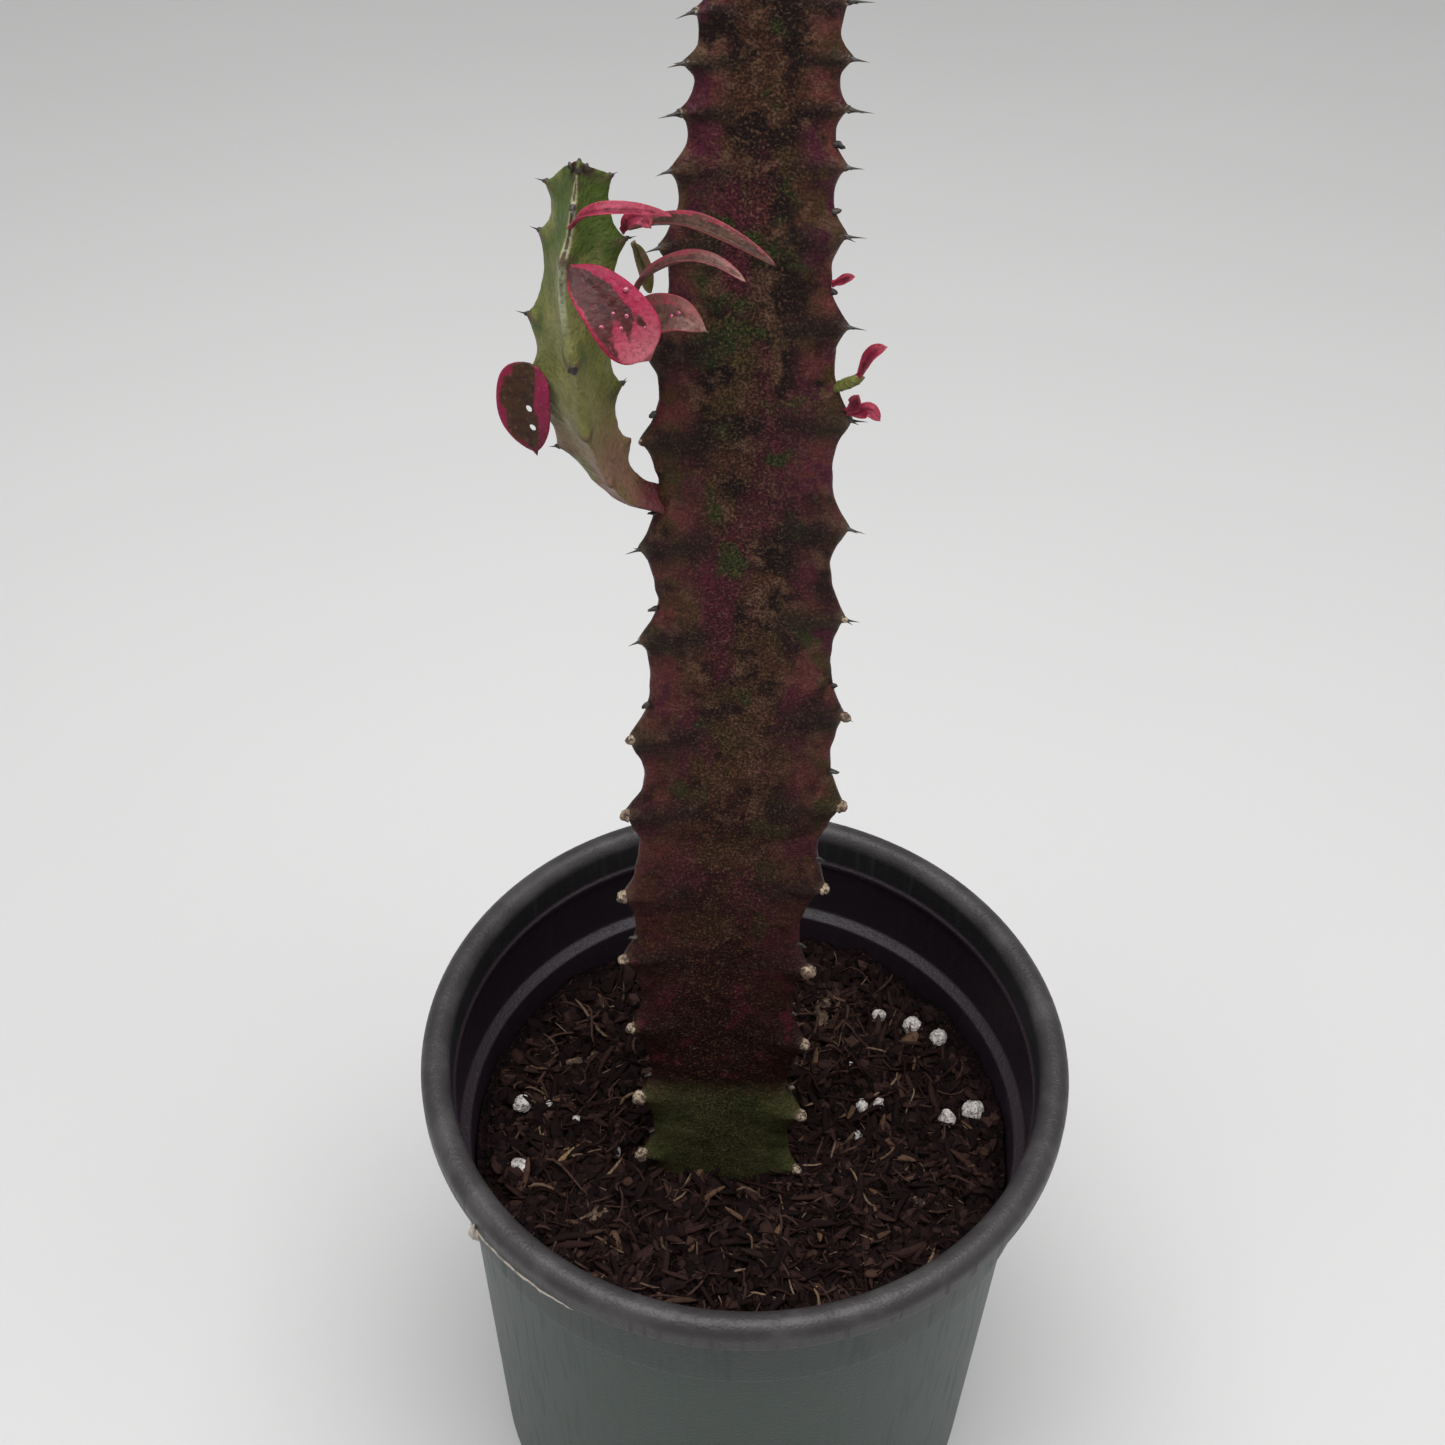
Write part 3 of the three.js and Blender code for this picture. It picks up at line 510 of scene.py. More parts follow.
def branch_skin():
    """Young succulent skin: smooth and waxy, green, with a pale scarred front rib and a brown foot."""
    off_front = Zone("front", 1, 0, "LINEAR")
    skin = Finish("waxy_green_branch_skin")
    skin.paint("#6e7136", [
        ("#85834c", 1, Patches(5, 0.42, 0.62, seed=1, stretch=(1, 1, 0.5))),
        ("#35501a", 1, "tooth", Zone("edge", 0.1, 0.7), off_front, Patches(5, 0.36, 0.5, seed=2)),
        ("#4b5f22", 1, Zone("rise", 0.62, 0.8), Zone("front", 0.9, 0.4), Patches(7, 0.3, 0.55, seed=6)),
        ("#8a6653", 1, Zone("rise", 0.5, 0.2), Patches(6, 0.25, 0.5, seed=3, stretch=(1, 1, 0.4))),
        ("#5c222c", 1, Zone("rise", 0.13, 0.03)),
        ("#a8ad8a", 1, Zone("front", 0.75, 0.95), Zone("rise", 0.62, 0.7)),
        ("#4c3428", 1, Zone("front", 0.9, 1), Zone("rise", 0.72, 0.78), Patches(1.2, 0.42, 0.55, seed=8)),
        ("#3c2520", 1, Zone("rise", 0.945, 0.985), Patches(1.5, 0.3, 0.6, seed=4)),
        ("#3d3f22", 0.35, Patches(0.6, 0.5, 0.66, 2)),
        ("#5c4636", 1, "cork"),
    ])
    skin.gloss(0.42, 0.62, Patches(1.5, 0.3, 0.7, seed=5))
    skin.bump(0.08, [Patches(0.6, 0.4, 0.7, 2)], [Patches(2, 0.3, 0.7, seed=4)])
    return skin.set(specular_ior_level=0.35)


LEAF_FINISHES = {
    # blade, its heart, its margin, its paler end, how wide the heart is, where along it stops
    "variegated": ("#8c1c3c", "#48201f", "#9c2044", "#b5646f", 0.8, 0.86),
    "lowest": ("#7c1f3c", "#42301f", "#8c2448", "#5c1a30", 0.74, 1.1),
    "crimson": ("#8a2a40", "#7a2338", "#a03a50", "#96404e", 0.6, 1.0),
    "dusky": ("#56392f", "#4b3529", "#8c2f40", "#7c4448", 0.95, 1.2),
    "greyish": ("#765049", "#654740", "#93404e", "#967068", 0.8, 1.0),
    "olive": ("#5b6032", "#4b5329", "#77604a", "#5b6032", 0.5, 0.9),
}


def leaf_skin(name, blade, heart, margin, end, heart_width, heart_stop):
    """A thin succulent leaf: satin, with a ragged dark heart, a redder margin and a paler end."""
    skin = Finish(f"satin_{name}_leaf")
    ragged = skin.mask(0.42, Patches(1.7, 0.2, 0.8, 5, stretch=(1, 1, 0.6)))
    side = add(skin.tree, "ShaderNodeAttribute", attribute_name="across").outputs["Fac"]
    along = add(skin.tree, "ShaderNodeAttribute", attribute_name="along").outputs["Fac"]
    across = add(skin.tree, "ShaderNodeMath", {0: side}, operation="ABSOLUTE").outputs[0]
    lopsided = add(skin.tree, "ShaderNodeMath", {0: side, 1: 0.3, 2: across}, operation="MULTIPLY_ADD")
    from_midrib = add(skin.tree, "ShaderNodeMath", {0: lopsided.outputs[0], 1: ragged}, operation="ADD")
    from_stalk = add(skin.tree, "ShaderNodeMath", {0: along, 1: ragged}, operation="ADD")
    in_heart = [
        Zone(from_midrib.outputs[0], heart_width + 0.1, heart_width),
        Zone(from_stalk.outputs[0], heart_stop + 0.12, heart_stop),
    ]
    skin.paint(blade, [
        (margin, 1, Patches(2.2, 0.4, 0.62, seed=2)),
        (end, 1, Zone(along, 0.55, 1.05)),
        (heart, 1, *in_heart),
        ("#2a1a1c", 0.5, *in_heart, Patches(1.2, 0.5, 0.6, seed=9)),
        (margin, 0.8, Zone(across, 0.8, 1)),
        ("#30121c", 0.3, Patches(0.4, 0.5, 0.66, 2, 6)),
        ("#c98a90", 0.08, Patches(0.5, 0.58, 0.7, 2, 7)),
    ])
    skin.gloss(0.36, 0.55, Patches(0.8, 0.3, 0.7, seed=3))
    skin.bump(0.05, [Patches(0.7, 0.3, 0.7, seed=1)])
    return skin.set(subsurface_weight=0.12, subsurface_scale=0.0015, specular_ior_level=0.22)


def horn():
    """Hard dry spines: dark grey-brown, a little shiny."""
    dry = Finish("dark_horny_spine")
    dry.paint("#3a342f", [
        ("#1d1918", 1, Patches(0.8, 0.45, 0.65)),
        ("#6e6258", 1, Patches(1.5, 0.6, 0.75, seed=2)),
    ])
    return dry.set(roughness=0.5)


def cork():
    """The dry shields at the teeth: matt, pale tan to grey, cracked."""
    crack = Patches(0.5, 0.46, 0.6, 5)
    dry = Finish("cracked_corky_shield")
    dry.paint("#8c7a66", [
        ("#b3a28c", 1, Patches(1.3, 0.45, 0.62, seed=1)),
        ("#6a4d42", 1, Patches(2.5, 0.5, 0.7, seed=2)),
        ("#4a3b33", 1, crack),
    ])
    dry.bump(0.15, [crack])
    return dry.set(roughness=0.85)


def pot_plastic():
    """Injection-moulded polypropylene: charcoal rim with a painted highlight along its top, scuffed
    grey-green wall, near-black inside.
    """
    scuff = Patches(1.1, 0.5, 0.72, 6, stretch=(1, 1, 0.07))
    plastic = Finish("moulded_polypropylene")
    plastic.paint("#28362f", [
        ("#4a5b53", 0.55, scuff),
        ("#35443d", 0.12, Patches(9, 0.45, 0.7, 6, 4)),
        ("#222c29", 0.55, "collar"),
        ("#322d31", 1, "lip"),
        # Painted highlight: the top of the rolled rim is painted lighter, in patches, as if lit from above.
        ("#353234", 1, "painted_crest_highlight"),
        ("#464345", 1, "painted_crest_highlight", Patches(6, 0.4, 0.7, 5, 3)),
        ("#2c232b", 1, "inside"),
        ("#4a4144", 0.5, "inside", Patches(0.7, 0.66, 0.74, 2, 8)),
    ])
    plastic.gloss(0.42, 0.58, scuff)
    plastic.bump(0.03, [scuff], [Patches(0.45, 0.3, 0.7, 2, 6)])
    return plastic.set(specular_ior_level=0.4)


def damp_peat():
    """Damp peat-based potting mix: near-black brown, crumbly and matt."""
    mix = Finish("damp_fibrous_peat")
    mix.paint("#1b1011", [
        ("#2a1a19", 1, Patches(3, 0.45, 0.65, 5)),
        ("#0d0708", 1, Patches(1.2, 0.5, 0.62, 4, 2)),
        ("#46332f", 1, Patches(0.8, 0.62, 0.7, seed=5)),
    ])
    mix.bump(0.5, [Patches(0.6, 0.35, 0.65, 4)], [Patches(1.8, 0.3, 0.7, seed=3)])
    return mix.set(roughness=0.95, specular_ior_level=0.1)


def dry_fibre(name, dark, middle, light):
    """Bits of root and bark in the mix: matt, each a shade of its own."""
    fibre = Finish(name)
    fibre.paint(dark, [
        (middle, 1, Zone("tint", 0.35, 0.75)),
        (light, 1, Zone("tint", 0.86, 1)),
        ("#1c1211", 0.5, Patches(0.8, 0.5, 0.65)),
    ])
    return fibre.set(roughness=0.9, specular_ior_level=0.1)


def perlite_stone():
    """Expanded volcanic glass: chalky off-white, pitted and a little dirty."""
    stone = Finish("pitted_perlite")
    stone.paint("#cdc7c3", [
        ("#a49b95", 1, Patches(1.4, 0.45, 0.7, seed=1)),
        ("#6f6660", 0.6, Patches(0.45, 0.55, 0.66)),
    ])
    stone.bump(0.25, [Patches(0.45, 0.66, 0.55)], [Patches(0.9, 0.3, 0.7, seed=4)])
    return stone.set(roughness=0.9)


def weathered_bark(name, base, streak, dark):
    """Weathered bark and wood: matt, with fine fibres along its length."""
    wood = Finish(name)
    wood.paint(base, [
        (streak, 1, Patches(0.7, 0.45, 0.62, 5)),
        (dark, 1, Patches(1.6, 0.52, 0.66, 4, 3)),
    ])
    wood.bump(0.3, [Patches(0.6, 0.35, 0.65, 5)])
    return wood.set(roughness=0.92)


def moulding_flash():
    """The thin skin of plastic left at the lip's edge: pale and matt."""
    flash = Finish("pale_moulding_flash")
    flash.paint("#b9b1a6", [("#8a8078", 1, Patches(1, 0.45, 0.65))])
    return flash.set(roughness=0.6)


def sap_drop():
    """A clear drop on the leaf: takes the leaf's crimson, with a wet shine."""
    drop = Finish("wet_sap_drop")
    drop.paint("#7c2440", [("#b85a70", 1, Patches(0.4, 0.4, 0.7))])
    return drop.set(roughness=0.12, coat_weight=0.8)


STEM_SKIN = stem_skin()
BRANCH_SKIN = branch_skin()
HORN = horn()
CORK = cork()
POT_PLASTIC = pot_plastic()
PEAT = damp_peat()
LEAF_SKINS = {name: leaf_skin(name, *finish) for name, finish in LEAF_FINISHES.items()}


# ---------------------------------------------------------------- ribbed stems
SECTOR_STEPS = 32
SPREAD = np.linspace(-1, 1, SECTOR_STEPS, endpoint=False)
# Angles from the nearest rib at which a ring is sampled: close together on the rib's edge.
RING_OFFSETS = np.sign(SPREAD) * np.abs(SPREAD) ** 1.7 * math.pi / 3
VALLEY = 0.44  # how far above a tooth the edge is deepest, as a share of the way to the next


def ribbed_radius(half_width, off_rib, tooth_height, phase, hollow=FACE_HOLLOW):
    """Distance from the middle line to the skin of a three-sided stem, at an angle from a rib."""
    reach = half_width / math.cos(math.pi / 6)
    rounded = np.hypot(off_rib, EDGE_ROUNDING)
    flat = math.cos(math.pi / 3 - EDGE_ROUNDING) / np.cos(math.pi / 3 - rounded)
    cusp = (1 - np.abs(np.sin(math.pi * phase))) ** 1.3
    return reach * flat**hollow + tooth_height * cusp * bell(off_rib, TOOTH_WIDTH)


def leaning_phase(phase):
    """Moves the deepest place between two teeth nearer the lower one."""
    part = phase % 1
    return np.where(part < VALLEY, part * 0.5 / VALLEY, 0.5 + (part - VALLEY) * 0.5 / (1 - VALLEY))


stem_outline = smooth_table(STEM_OUTLINE)
STEM_RIB_ANGLES = np.radians([210, 330, 90])
STEM_RIBS = [
    smooth_table([[index, height] for index, height in enumerate(heights)])
    for heights in (LEFT_TEETH, RIGHT_TEETH, BACK_TEETH)
]
ACROSS = np.array([1, 0, 0])
ALONG = np.array([0, math.sin(STEM_LEAN), math.cos(STEM_LEAN)])
BACKWARD = np.array([0, math.cos(STEM_LEAN), -math.sin(STEM_LEAN)])
LAST_TOOTH = len(LEFT_TEETH) - 1


def stem_point(height, angle, radius):
    """A point so high along the leaning stem, at an angle and a distance from its middle."""
    row = stem_outline(height)
    sideways, half_width = row[..., 1], row[..., 2]
    depth = half_width / math.cos(math.pi / 6) / 2
    return (
        STEM_FOOT
        + np.multiply.outer(height, ALONG)
        + np.multiply.outer(sideways + radius * np.cos(angle), ACROSS)
        + np.multiply.outer(depth + radius * np.sin(angle), BACKWARD)
    )


def rib_height(rib, index):
    """How high a rib's tooth number stands; numbers from -1 to 0 run from the foot to the first."""
    index = np.asarray(index, float)
    on_rib = STEM_RIBS[rib](np.maximum(index, 0))[..., 1]
    return np.where(index < 0, blend(on_rib, -PLANTING_DEPTH, -index), on_rib)


def stem_tooth_height(half_width):
    return STEM_TOOTH_HEIGHT * np.minimum(1, (half_width / 10.4) ** 1.5)


def stem_grid(index, crown):
    """Rings of the stem at tooth numbers; crown goes from 0 to 1 over the rings that close its tip."""
    points, edge, tooth, height_of = [], [], [], []
    for rib, rib_angle in enumerate(STEM_RIB_ANGLES):
        for offset in RING_OFFSETS:
            neighbour = (rib + (1 if offset > 0 else 2)) % 3
            share = abs(offset) / THIRD_TURN
            height = blend(rib_height(rib, index), rib_height(neighbour, index), share)
            height = blend(height, STEM_LENGTH, crown)
            half_width = stem_outline(height)[..., 2]
            size = np.where(index < 0, 0, stem_tooth_height(half_width))
            phase = leaning_phase(index)
            radius = ribbed_radius(half_width, offset, size, phase)
            near = bell(np.abs((phase + 0.5) % 1 - 0.5), 0.17) * (index > -0.2)
            # Each tooth stands on a slight cushion that is widest beside the rib's edge.
            radius = radius + 0.22 * near * (bell(offset, math.radians(26)) - bell(offset, math.radians(9)))
            radius = radius * np.sqrt(1 - 0.97 * crown**2)
            points.append(stem_point(height, rib_angle + offset, radius))
            edge.append(np.full(len(index), bell(offset, math.radians(24))))
            tooth.append(near)
            height_of.append(height)
    return (np.stack(columns, 1) for columns in (points, edge, tooth, height_of))


BURIED_ROWS, ROWS_PER_TOOTH, CLOSING_ROWS = 14, 22, 10


def main_stem():
    """The old stem: its buried foot, its toothed length and its closing tip, with lumps."""
    buried = np.linspace(-1, 0, BURIED_ROWS, endpoint=False)
    toothed = np.linspace(0, LAST_TOOTH, LAST_TOOTH * ROWS_PER_TOOTH + 1)
    closing = np.full(CLOSING_ROWS, LAST_TOOTH)
    index = np.concatenate([buried, toothed, closing])
    crown = np.append(np.zeros(len(buried) + len(toothed)), np.linspace(0, 1, CLOSING_ROWS + 1)[1:])
    points, edge, tooth, height = stem_grid(index, crown)
    middle = points.mean(1, keepdims=True)
    outward = unit(points - middle)
    lumps = 0.3 * ripple(points, 11, 1) + 0.16 * ripple(points, 4.5, 2) + 0.07 * ripple(points, 1.8, 3)
    points = points + outward * (lumps * np.clip(1 - crown, 0, 1)[:, None])[..., None]
    on_tip = bell(np.abs((leaning_phase(index) + 0.5) % 1 - 0.5), 0.05) * (index > -0.1)
    cork_mask = on_tip[:, None] * 0.7 * np.clip(edge**40 * 1.3 - 0.3, 0, 1)
    foot = stem_point(-PLANTING_DEPTH, 0, 0)
    tip = points[-1].mean(0) + ALONG * 0.3
    points, faces = closed_skin(points, foot, tip)
    spread = {
        key: np.append(values.ravel(), [0, 0])
        for key, values in (
            ("edge", edge), ("tooth", tooth), ("rise", height / STEM_LENGTH), ("cork", cork_mask))
    }
    keep(new_piece("stem_flesh", points, faces, STEM_SKIN, **spread), "stem_skin", "main_stem")


branch_route = Route([row[:3] for row in BRANCH_LINE])
branch_shape = smooth_table(
    [[i / (len(BRANCH_LINE) - 1), row[3], row[4]] for i, row in enumerate(BRANCH_LINE)]
)
BRANCH_RIB_ANGLES = np.radians([150, 30, 270])
BRANCH_HOLLOW = 1.35
BRANCH_ROWS = 181
FRONT_RIB = 2


def branch_frame(shares):
    """The branch's middle line at shares of its length, its three directions, half width and twist."""
    t = branch_route.by_length(shares)
    along = branch_route.direction(t)
    across = unit(np.cross([0, 1, 0], along))
    backward = unit(np.cross(along, across))
    shape = branch_shape(t)
    return branch_route.point(t), along, across, backward, shape[..., 1], np.radians(shape[..., 2])


def tooth_phase(teeth, shares):
    """How far shares of the length lie from the nearest tooth: 0 or 1 on a tooth, 0.5 half way."""
    teeth = np.array(teeth)
    first, final = teeth[1] - teeth[0], teeth[-1] - teeth[-2]
    i = np.clip(np.searchsorted(teeth, shares, side="left"), 1, len(teeth) - 1)
    between = (shares - teeth[i - 1]) / (teeth[i] - teeth[i - 1])
    below = np.minimum(0.5, (teeth[0] - shares) / first)
    above = np.minimum(0.5, (shares - teeth[-1]) / final)
    return np.where(shares < teeth[0], below, np.where(shares > teeth[-1], above, between))


def branch_point(shares, rib, offset):
    """A point on the branch's skin at an angle from a rib, and how near it is to a tooth."""
    middle, _, across, backward, half_width, twist = branch_frame(shares)
    size = BRANCH_TOOTH_HEIGHT * np.minimum(1, 0.45 + half_width / 6)
    phase = tooth_phase(BRANCH_TEETH[rib], shares)
    radius = ribbed_radius(half_width, offset, size, phase, BRANCH_HOLLOW)
    angle = BRANCH_RIB_ANGLES[rib] + offset + twist
    near = bell((phase + 0.5) % 1 - 0.5, 0.16)
    sideways = across * (radius * np.cos(angle))[..., None]
    to_back = backward * (radius * np.sin(angle))[..., None]
    return middle + sideways + to_back, near


def side_branch():
    """The young branch, from its foot in the stem to its crown."""
    shares = np.linspace(0, 1, BRANCH_ROWS)
    points, edge, tooth, front = [], [], [], []
    for rib in (FRONT_RIB, 1, 0):
        for offset in RING_OFFSETS:
            point, near = branch_point(shares, rib, offset)
            points.append(point)
            tooth.append(near)
            edge.append(np.full(len(shares), bell(offset, math.radians(22))))
            front.append(np.full(len(shares), bell(offset, math.radians(13)) * (rib == FRONT_RIB)))
    points, edge, tooth, front = (np.stack(columns, 1) for columns in (points, edge, tooth, front))
    outward = unit(points - points.mean(1, keepdims=True))
    points = points + outward * (0.12 * ripple(points, 5, 11) + 0.05 * ripple(points, 1.6, 12))[..., None]
    cork_mask = np.clip(bell(1 - tooth, 0.12) * (edge * 1.5 - 0.7), 0, 1)
    rise = np.repeat(shares[:, None], points.shape[1], 1)
    tip = branch_route.point(1) + [0, 0, 0.5]
    points, faces = closed_skin(points, branch_route.point(0), tip)
    spread = {
        key: np.append(values.ravel(), [0, last])
        for key, values, last in (("edge", edge, 0), ("tooth", tooth, 0), ("front", front, 0),
                                  ("rise", rise, 1), ("cork", cork_mask, 0))
    }
    keep(new_piece("branch_flesh", points, faces, BRANCH_SKIN, **spread), "branch_skin", "side_branch")


# ---------------------------------------------------------------- small growths set by Geometry Nodes
def group_with(name, inputs):
    """An empty node group with a geometry input, a geometry output and the named inputs."""
    tree = bpy.data.node_groups.new(name, "GeometryNodeTree")
    tree.interface.new_socket("Geometry", in_out="INPUT", socket_type="NodeSocketGeometry")
    for label, kind in inputs.items():
        tree.interface.new_socket(label, in_out="INPUT", socket_type=f"NodeSocket{kind}")
    tree.interface.new_socket("Geometry", in_out="OUTPUT", socket_type="NodeSocketGeometry")
    return tree


def finish_group(tree, instances, material):
    """Makes the instances real, gives them their material and sends them out."""
    real = add(tree, "GeometryNodeRealizeInstances", {0: instances})
    done = add(tree, "GeometryNodeSetMaterial", {0: real.outputs[0], "Material": material})
    add(tree, "NodeGroupOutput", {0: done.outputs[0]})


def growth_tree():
    """Sets a shape on every point, its Z axis along the point's aim and stretched to its size."""
    tree = group_with("growths_on_points", {"Shape": "Object", "Material": "Material", "Seed": "Int"})
    given = add(tree, "NodeGroupInput").outputs
    aim = add(tree, "GeometryNodeInputNamedAttribute", {"Name": "aim"}, data_type="FLOAT_VECTOR")
    size = add(tree, "GeometryNodeInputNamedAttribute", {"Name": "size"}, data_type="FLOAT_VECTOR")
    angles = add(tree, "FunctionNodeRandomValue",
                 {0: (0, 0, 0), 1: (0, 0, 2 * math.pi), "Seed": given["Seed"]}, data_type="FLOAT_VECTOR")
    spin = add(tree, "FunctionNodeEulerToRotation", {0: angles.outputs[0]})
    aligned = add(tree, "FunctionNodeAlignRotationToVector", {"Vector": aim.outputs[0]}, axis="Z")
    turn = add(tree, "FunctionNodeRotateRotation", {0: aligned.outputs[0], 1: spin.outputs[0]},
               rotation_space="LOCAL")
    shape = add(tree, "GeometryNodeObjectInfo", {"Object": given["Shape"]})
    placed = add(tree, "GeometryNodeInstanceOnPoints", {
        "Points": given["Geometry"], "Instance": shape.outputs["Geometry"],
        "Rotation": turn.outputs[0], "Scale": size.outputs[0]})
    finish_group(tree, placed.outputs[0], given["Material"])
    return tree


def litter_tree():
    """Strews a shape over a surface, lying nearly flat, each copy with a size and a tint of its own."""
    tree = group_with("litter_on_surface", {
        "Shape": "Object", "Material": "Material", "Density": "Float", "Seed": "Int",
        "Smallest": "Float", "Largest": "Float", "Tilt": "Float", "Lift": "Float", "Ground": "String"})
    given = add(tree, "NodeGroupInput").outputs
    ground = add(tree, "GeometryNodeInputNamedAttribute", {"Name": given["Ground"]}, data_type="FLOAT")
    density = add(tree, "ShaderNodeMath", {0: ground.outputs[0], 1: given["Density"]}, operation="MULTIPLY")
    points = add(tree, "GeometryNodeDistributePointsOnFaces",
                 {"Mesh": given["Geometry"], "Density": density.outputs[0], "Seed": given["Seed"]})
    down = add(tree, "ShaderNodeMath", {0: given["Tilt"], 1: -1.0}, operation="MULTIPLY")
    least = add(tree, "ShaderNodeCombineXYZ", {0: down.outputs[0], 1: down.outputs[0], 2: 0.0})
    most = add(tree, "ShaderNodeCombineXYZ", {0: given["Tilt"], 1: given["Tilt"], 2: 2 * math.pi})
    angles = add(tree, "FunctionNodeRandomValue",
                 {0: least.outputs[0], 1: most.outputs[0], "Seed": given["Seed"]}, data_type="FLOAT_VECTOR")
    turn = add(tree, "FunctionNodeEulerToRotation", {0: angles.outputs[0]})
    size = add(tree, "FunctionNodeRandomValue", {2: given["Smallest"], 3: given["Largest"], "Seed": 7})
    shape = add(tree, "GeometryNodeObjectInfo", {"Object": given["Shape"]})
    raised = add(tree, "ShaderNodeCombineXYZ", {2: given["Lift"]})
    lifted = add(tree, "GeometryNodeSetPosition",
                 {"Geometry": points.outputs[0], "Offset": raised.outputs[0]})
    placed = add(tree, "GeometryNodeInstanceOnPoints", {
        "Points": lifted.outputs[0], "Instance": shape.outputs["Geometry"],
        "Rotation": turn.outputs[0], "Scale": size.outputs[1]})
    tint = add(tree, "FunctionNodeRandomValue", {2: 0.0, 3: 1.0, "Seed": 11})
    tinted = add(tree, "GeometryNodeStoreNamedAttribute",
                 {"Geometry": placed.outputs[0], "Name": "tint", "Value": tint.outputs[1]},
                 domain="INSTANCE", data_type="FLOAT")
    finish_group(tree, tinted.outputs[0], given["Material"])
    return tree


def grow(name, ground, tree, material, shape, **settings):
    """Runs a node group on a mesh and keeps what it makes as one plain piece."""
    piece = bpy.data.objects.new(name, ground)
    SCENE.collection.objects.link(piece)
    modifier = piece.modifiers.new(name, "NODES")
    modifier.node_group = tree
    given = {"Shape": shape, "Material": material, **settings}
    for socket in tree.interface.items_tree:
        if socket.in_out == "INPUT" and socket.name in given:
            modifier[socket.identifier] = given[socket.name]
    apply_modifiers(piece)
    return piece


def hidden_shape(name, points, faces, smooth=True):
    """A shape that is only there to be repeated; the copies get their own material."""
    shape = new_piece(name, points, faces, HORN, smooth)
    SCENE.collection.objects.unlink(shape)
    return shape


def spine_shape():
    """A tapering spine one metre long with a flared root one metre in radius, slightly hooked."""
    steps = np.linspace(0, 0.97, 8)
    radius = 0.42 * (1 - steps) + 0.58 * (1 - steps) ** 6
    angle = np.linspace(0, 2 * math.pi, 7, endpoint=False)
    rings = np.stack([
        radius[:, None] * np.cos(angle) + 0.25 * (steps**2)[:, None],
        radius[:, None] * np.sin(angle),
        np.repeat(steps[:, None], len(angle), 1)], -1)
    points, faces = closed_skin(rings, [[0, 0, 0]], [[0.27, 0, 1]])
    return hidden_shape("spine_shape", points / MM, faces)


def lump_shape(name, seed, roughness, flatness=1.0, detail=2):
    """A lumpy ball about one metre in radius."""
    points, faces = ball(detail)
    points = points * (1 + roughness * ripple(points, 1.1, seed))[:, None] * [1, 1, flatness]
    return hidden_shape(name, points / MM, faces, detail > 1)


def point_mesh(name, points, aims, sizes):
    """Loose points in millimetres, each with an aim and a size in metres."""
    mesh = bpy.data.meshes.new(name)
    mesh.from_pydata((np.array(points) * MM).tolist(), [], [])
    for key, values in (("aim", aims), ("size", sizes)):
        layer = mesh.attributes.new(key, "FLOAT_VECTOR", "POINT")
        layer.data.foreach_set("vector", np.array(values, np.float32).ravel())
    return mesh


def turned(vector, axis, angle):
    """The vector turned about the axis."""
    return (
        vector * math.cos(angle)
        + np.cross(axis, vector) * math.sin(angle)
        + axis * (axis @ vector) * (1 - math.cos(angle))
    )


# The branch leaves the stem beside this tooth of the left rib, which has no spines of its own.
TOOTH_BESIDE_BRANCH = 9
OLD_BELOW, YOUNG_ABOVE = 70, 115  # heights between which worn old teeth give way to spiny young ones
SPINE_RADIUS = 0.46


def stem_growths(growths):
    """Spine pairs and corky shields on the teeth, and dry flower stubs between them."""
    draw = np.random.default_rng(4)
    spines, shields, stubs = [], [], []
    for rib, angle in enumerate(STEM_RIB_ANGLES):
        for tooth in range(LAST_TOOTH + 1):
            height = float(rib_height(rib, tooth))
            half_width = stem_outline(height)[2]
            young = min(1, max(0, (height - OLD_BELOW) / (YOUNG_ABOVE - OLD_BELOW)))
            tip = stem_point(height, angle, ribbed_radius(half_width, 0, stem_tooth_height(half_width), 0))
            outward = unit(tip - stem_point(height, angle, 0))
            beside_branch = rib == 0 and tooth == TOOTH_BESIDE_BRANCH
            length = blend(0.7, 2.5, young) * draw.uniform(0.8, 1.15)
            for side in (1, -1):
                aim = turned(outward, ALONG, side * SPINE_SPREAD * draw.uniform(0.5, 1.2))
                aim = turned(aim, unit(np.cross(ALONG, aim)), draw.uniform(-0.12, 0.1))
                share = 1 if side == 1 else draw.uniform(0.3, 0.75)
                if not beside_branch and draw.uniform() < blend(0.45, 1.0, young):
                    size = [SPINE_RADIUS * MM, SPINE_RADIUS * MM, (length * share + 0.3) * MM]
                    spines.append((tip - outward * 0.3, aim, size))
            width = blend(1.0, 0.45, young) * min(1, half_width / 6) * draw.uniform(0.8, 1.15)
            size = [width * MM, width * 0.8 * MM, width * 1.1 * MM]
            shields.append((tip - outward * blend(0.15, 0.45, young), outward, size))
            if tooth < LAST_TOOTH - 4 and draw.uniform() < 0.8:
                above = tooth + draw.uniform(0.27, 0.36)
                place = float(rib_height(rib, above))
                wide = stem_outline(place)[2]
                phase = float(leaning_phase(above))
                root = stem_point(place, angle, ribbed_radius(wide, 0, stem_tooth_height(wide), phase))
                way = unit(root - stem_point(place, angle, 0) + ALONG * draw.uniform(0, 0.6))
                long = draw.uniform(0.5, 1.0)
                stubs.append((root + way * 0.2, way, [0.32 * MM, 0.42 * MM, long * MM]))
    spine = spine_shape()
    shield = lump_shape("shield_shape", 5, 0.3)
    stub = lump_shape("stub_shape", 8, 0.4)
    for name, rows, shape, material in (
        ("stem_spines", spines, spine, HORN),
        ("stem_shields", shields, shield, CORK),
        ("stem_stubs", stubs, stub, HORN),
    ):
        mesh = point_mesh(name, *zip(*rows))
        keep(grow(name, mesh, growths, material, shape, Seed=3), "stem_skin")
    return spine, stub


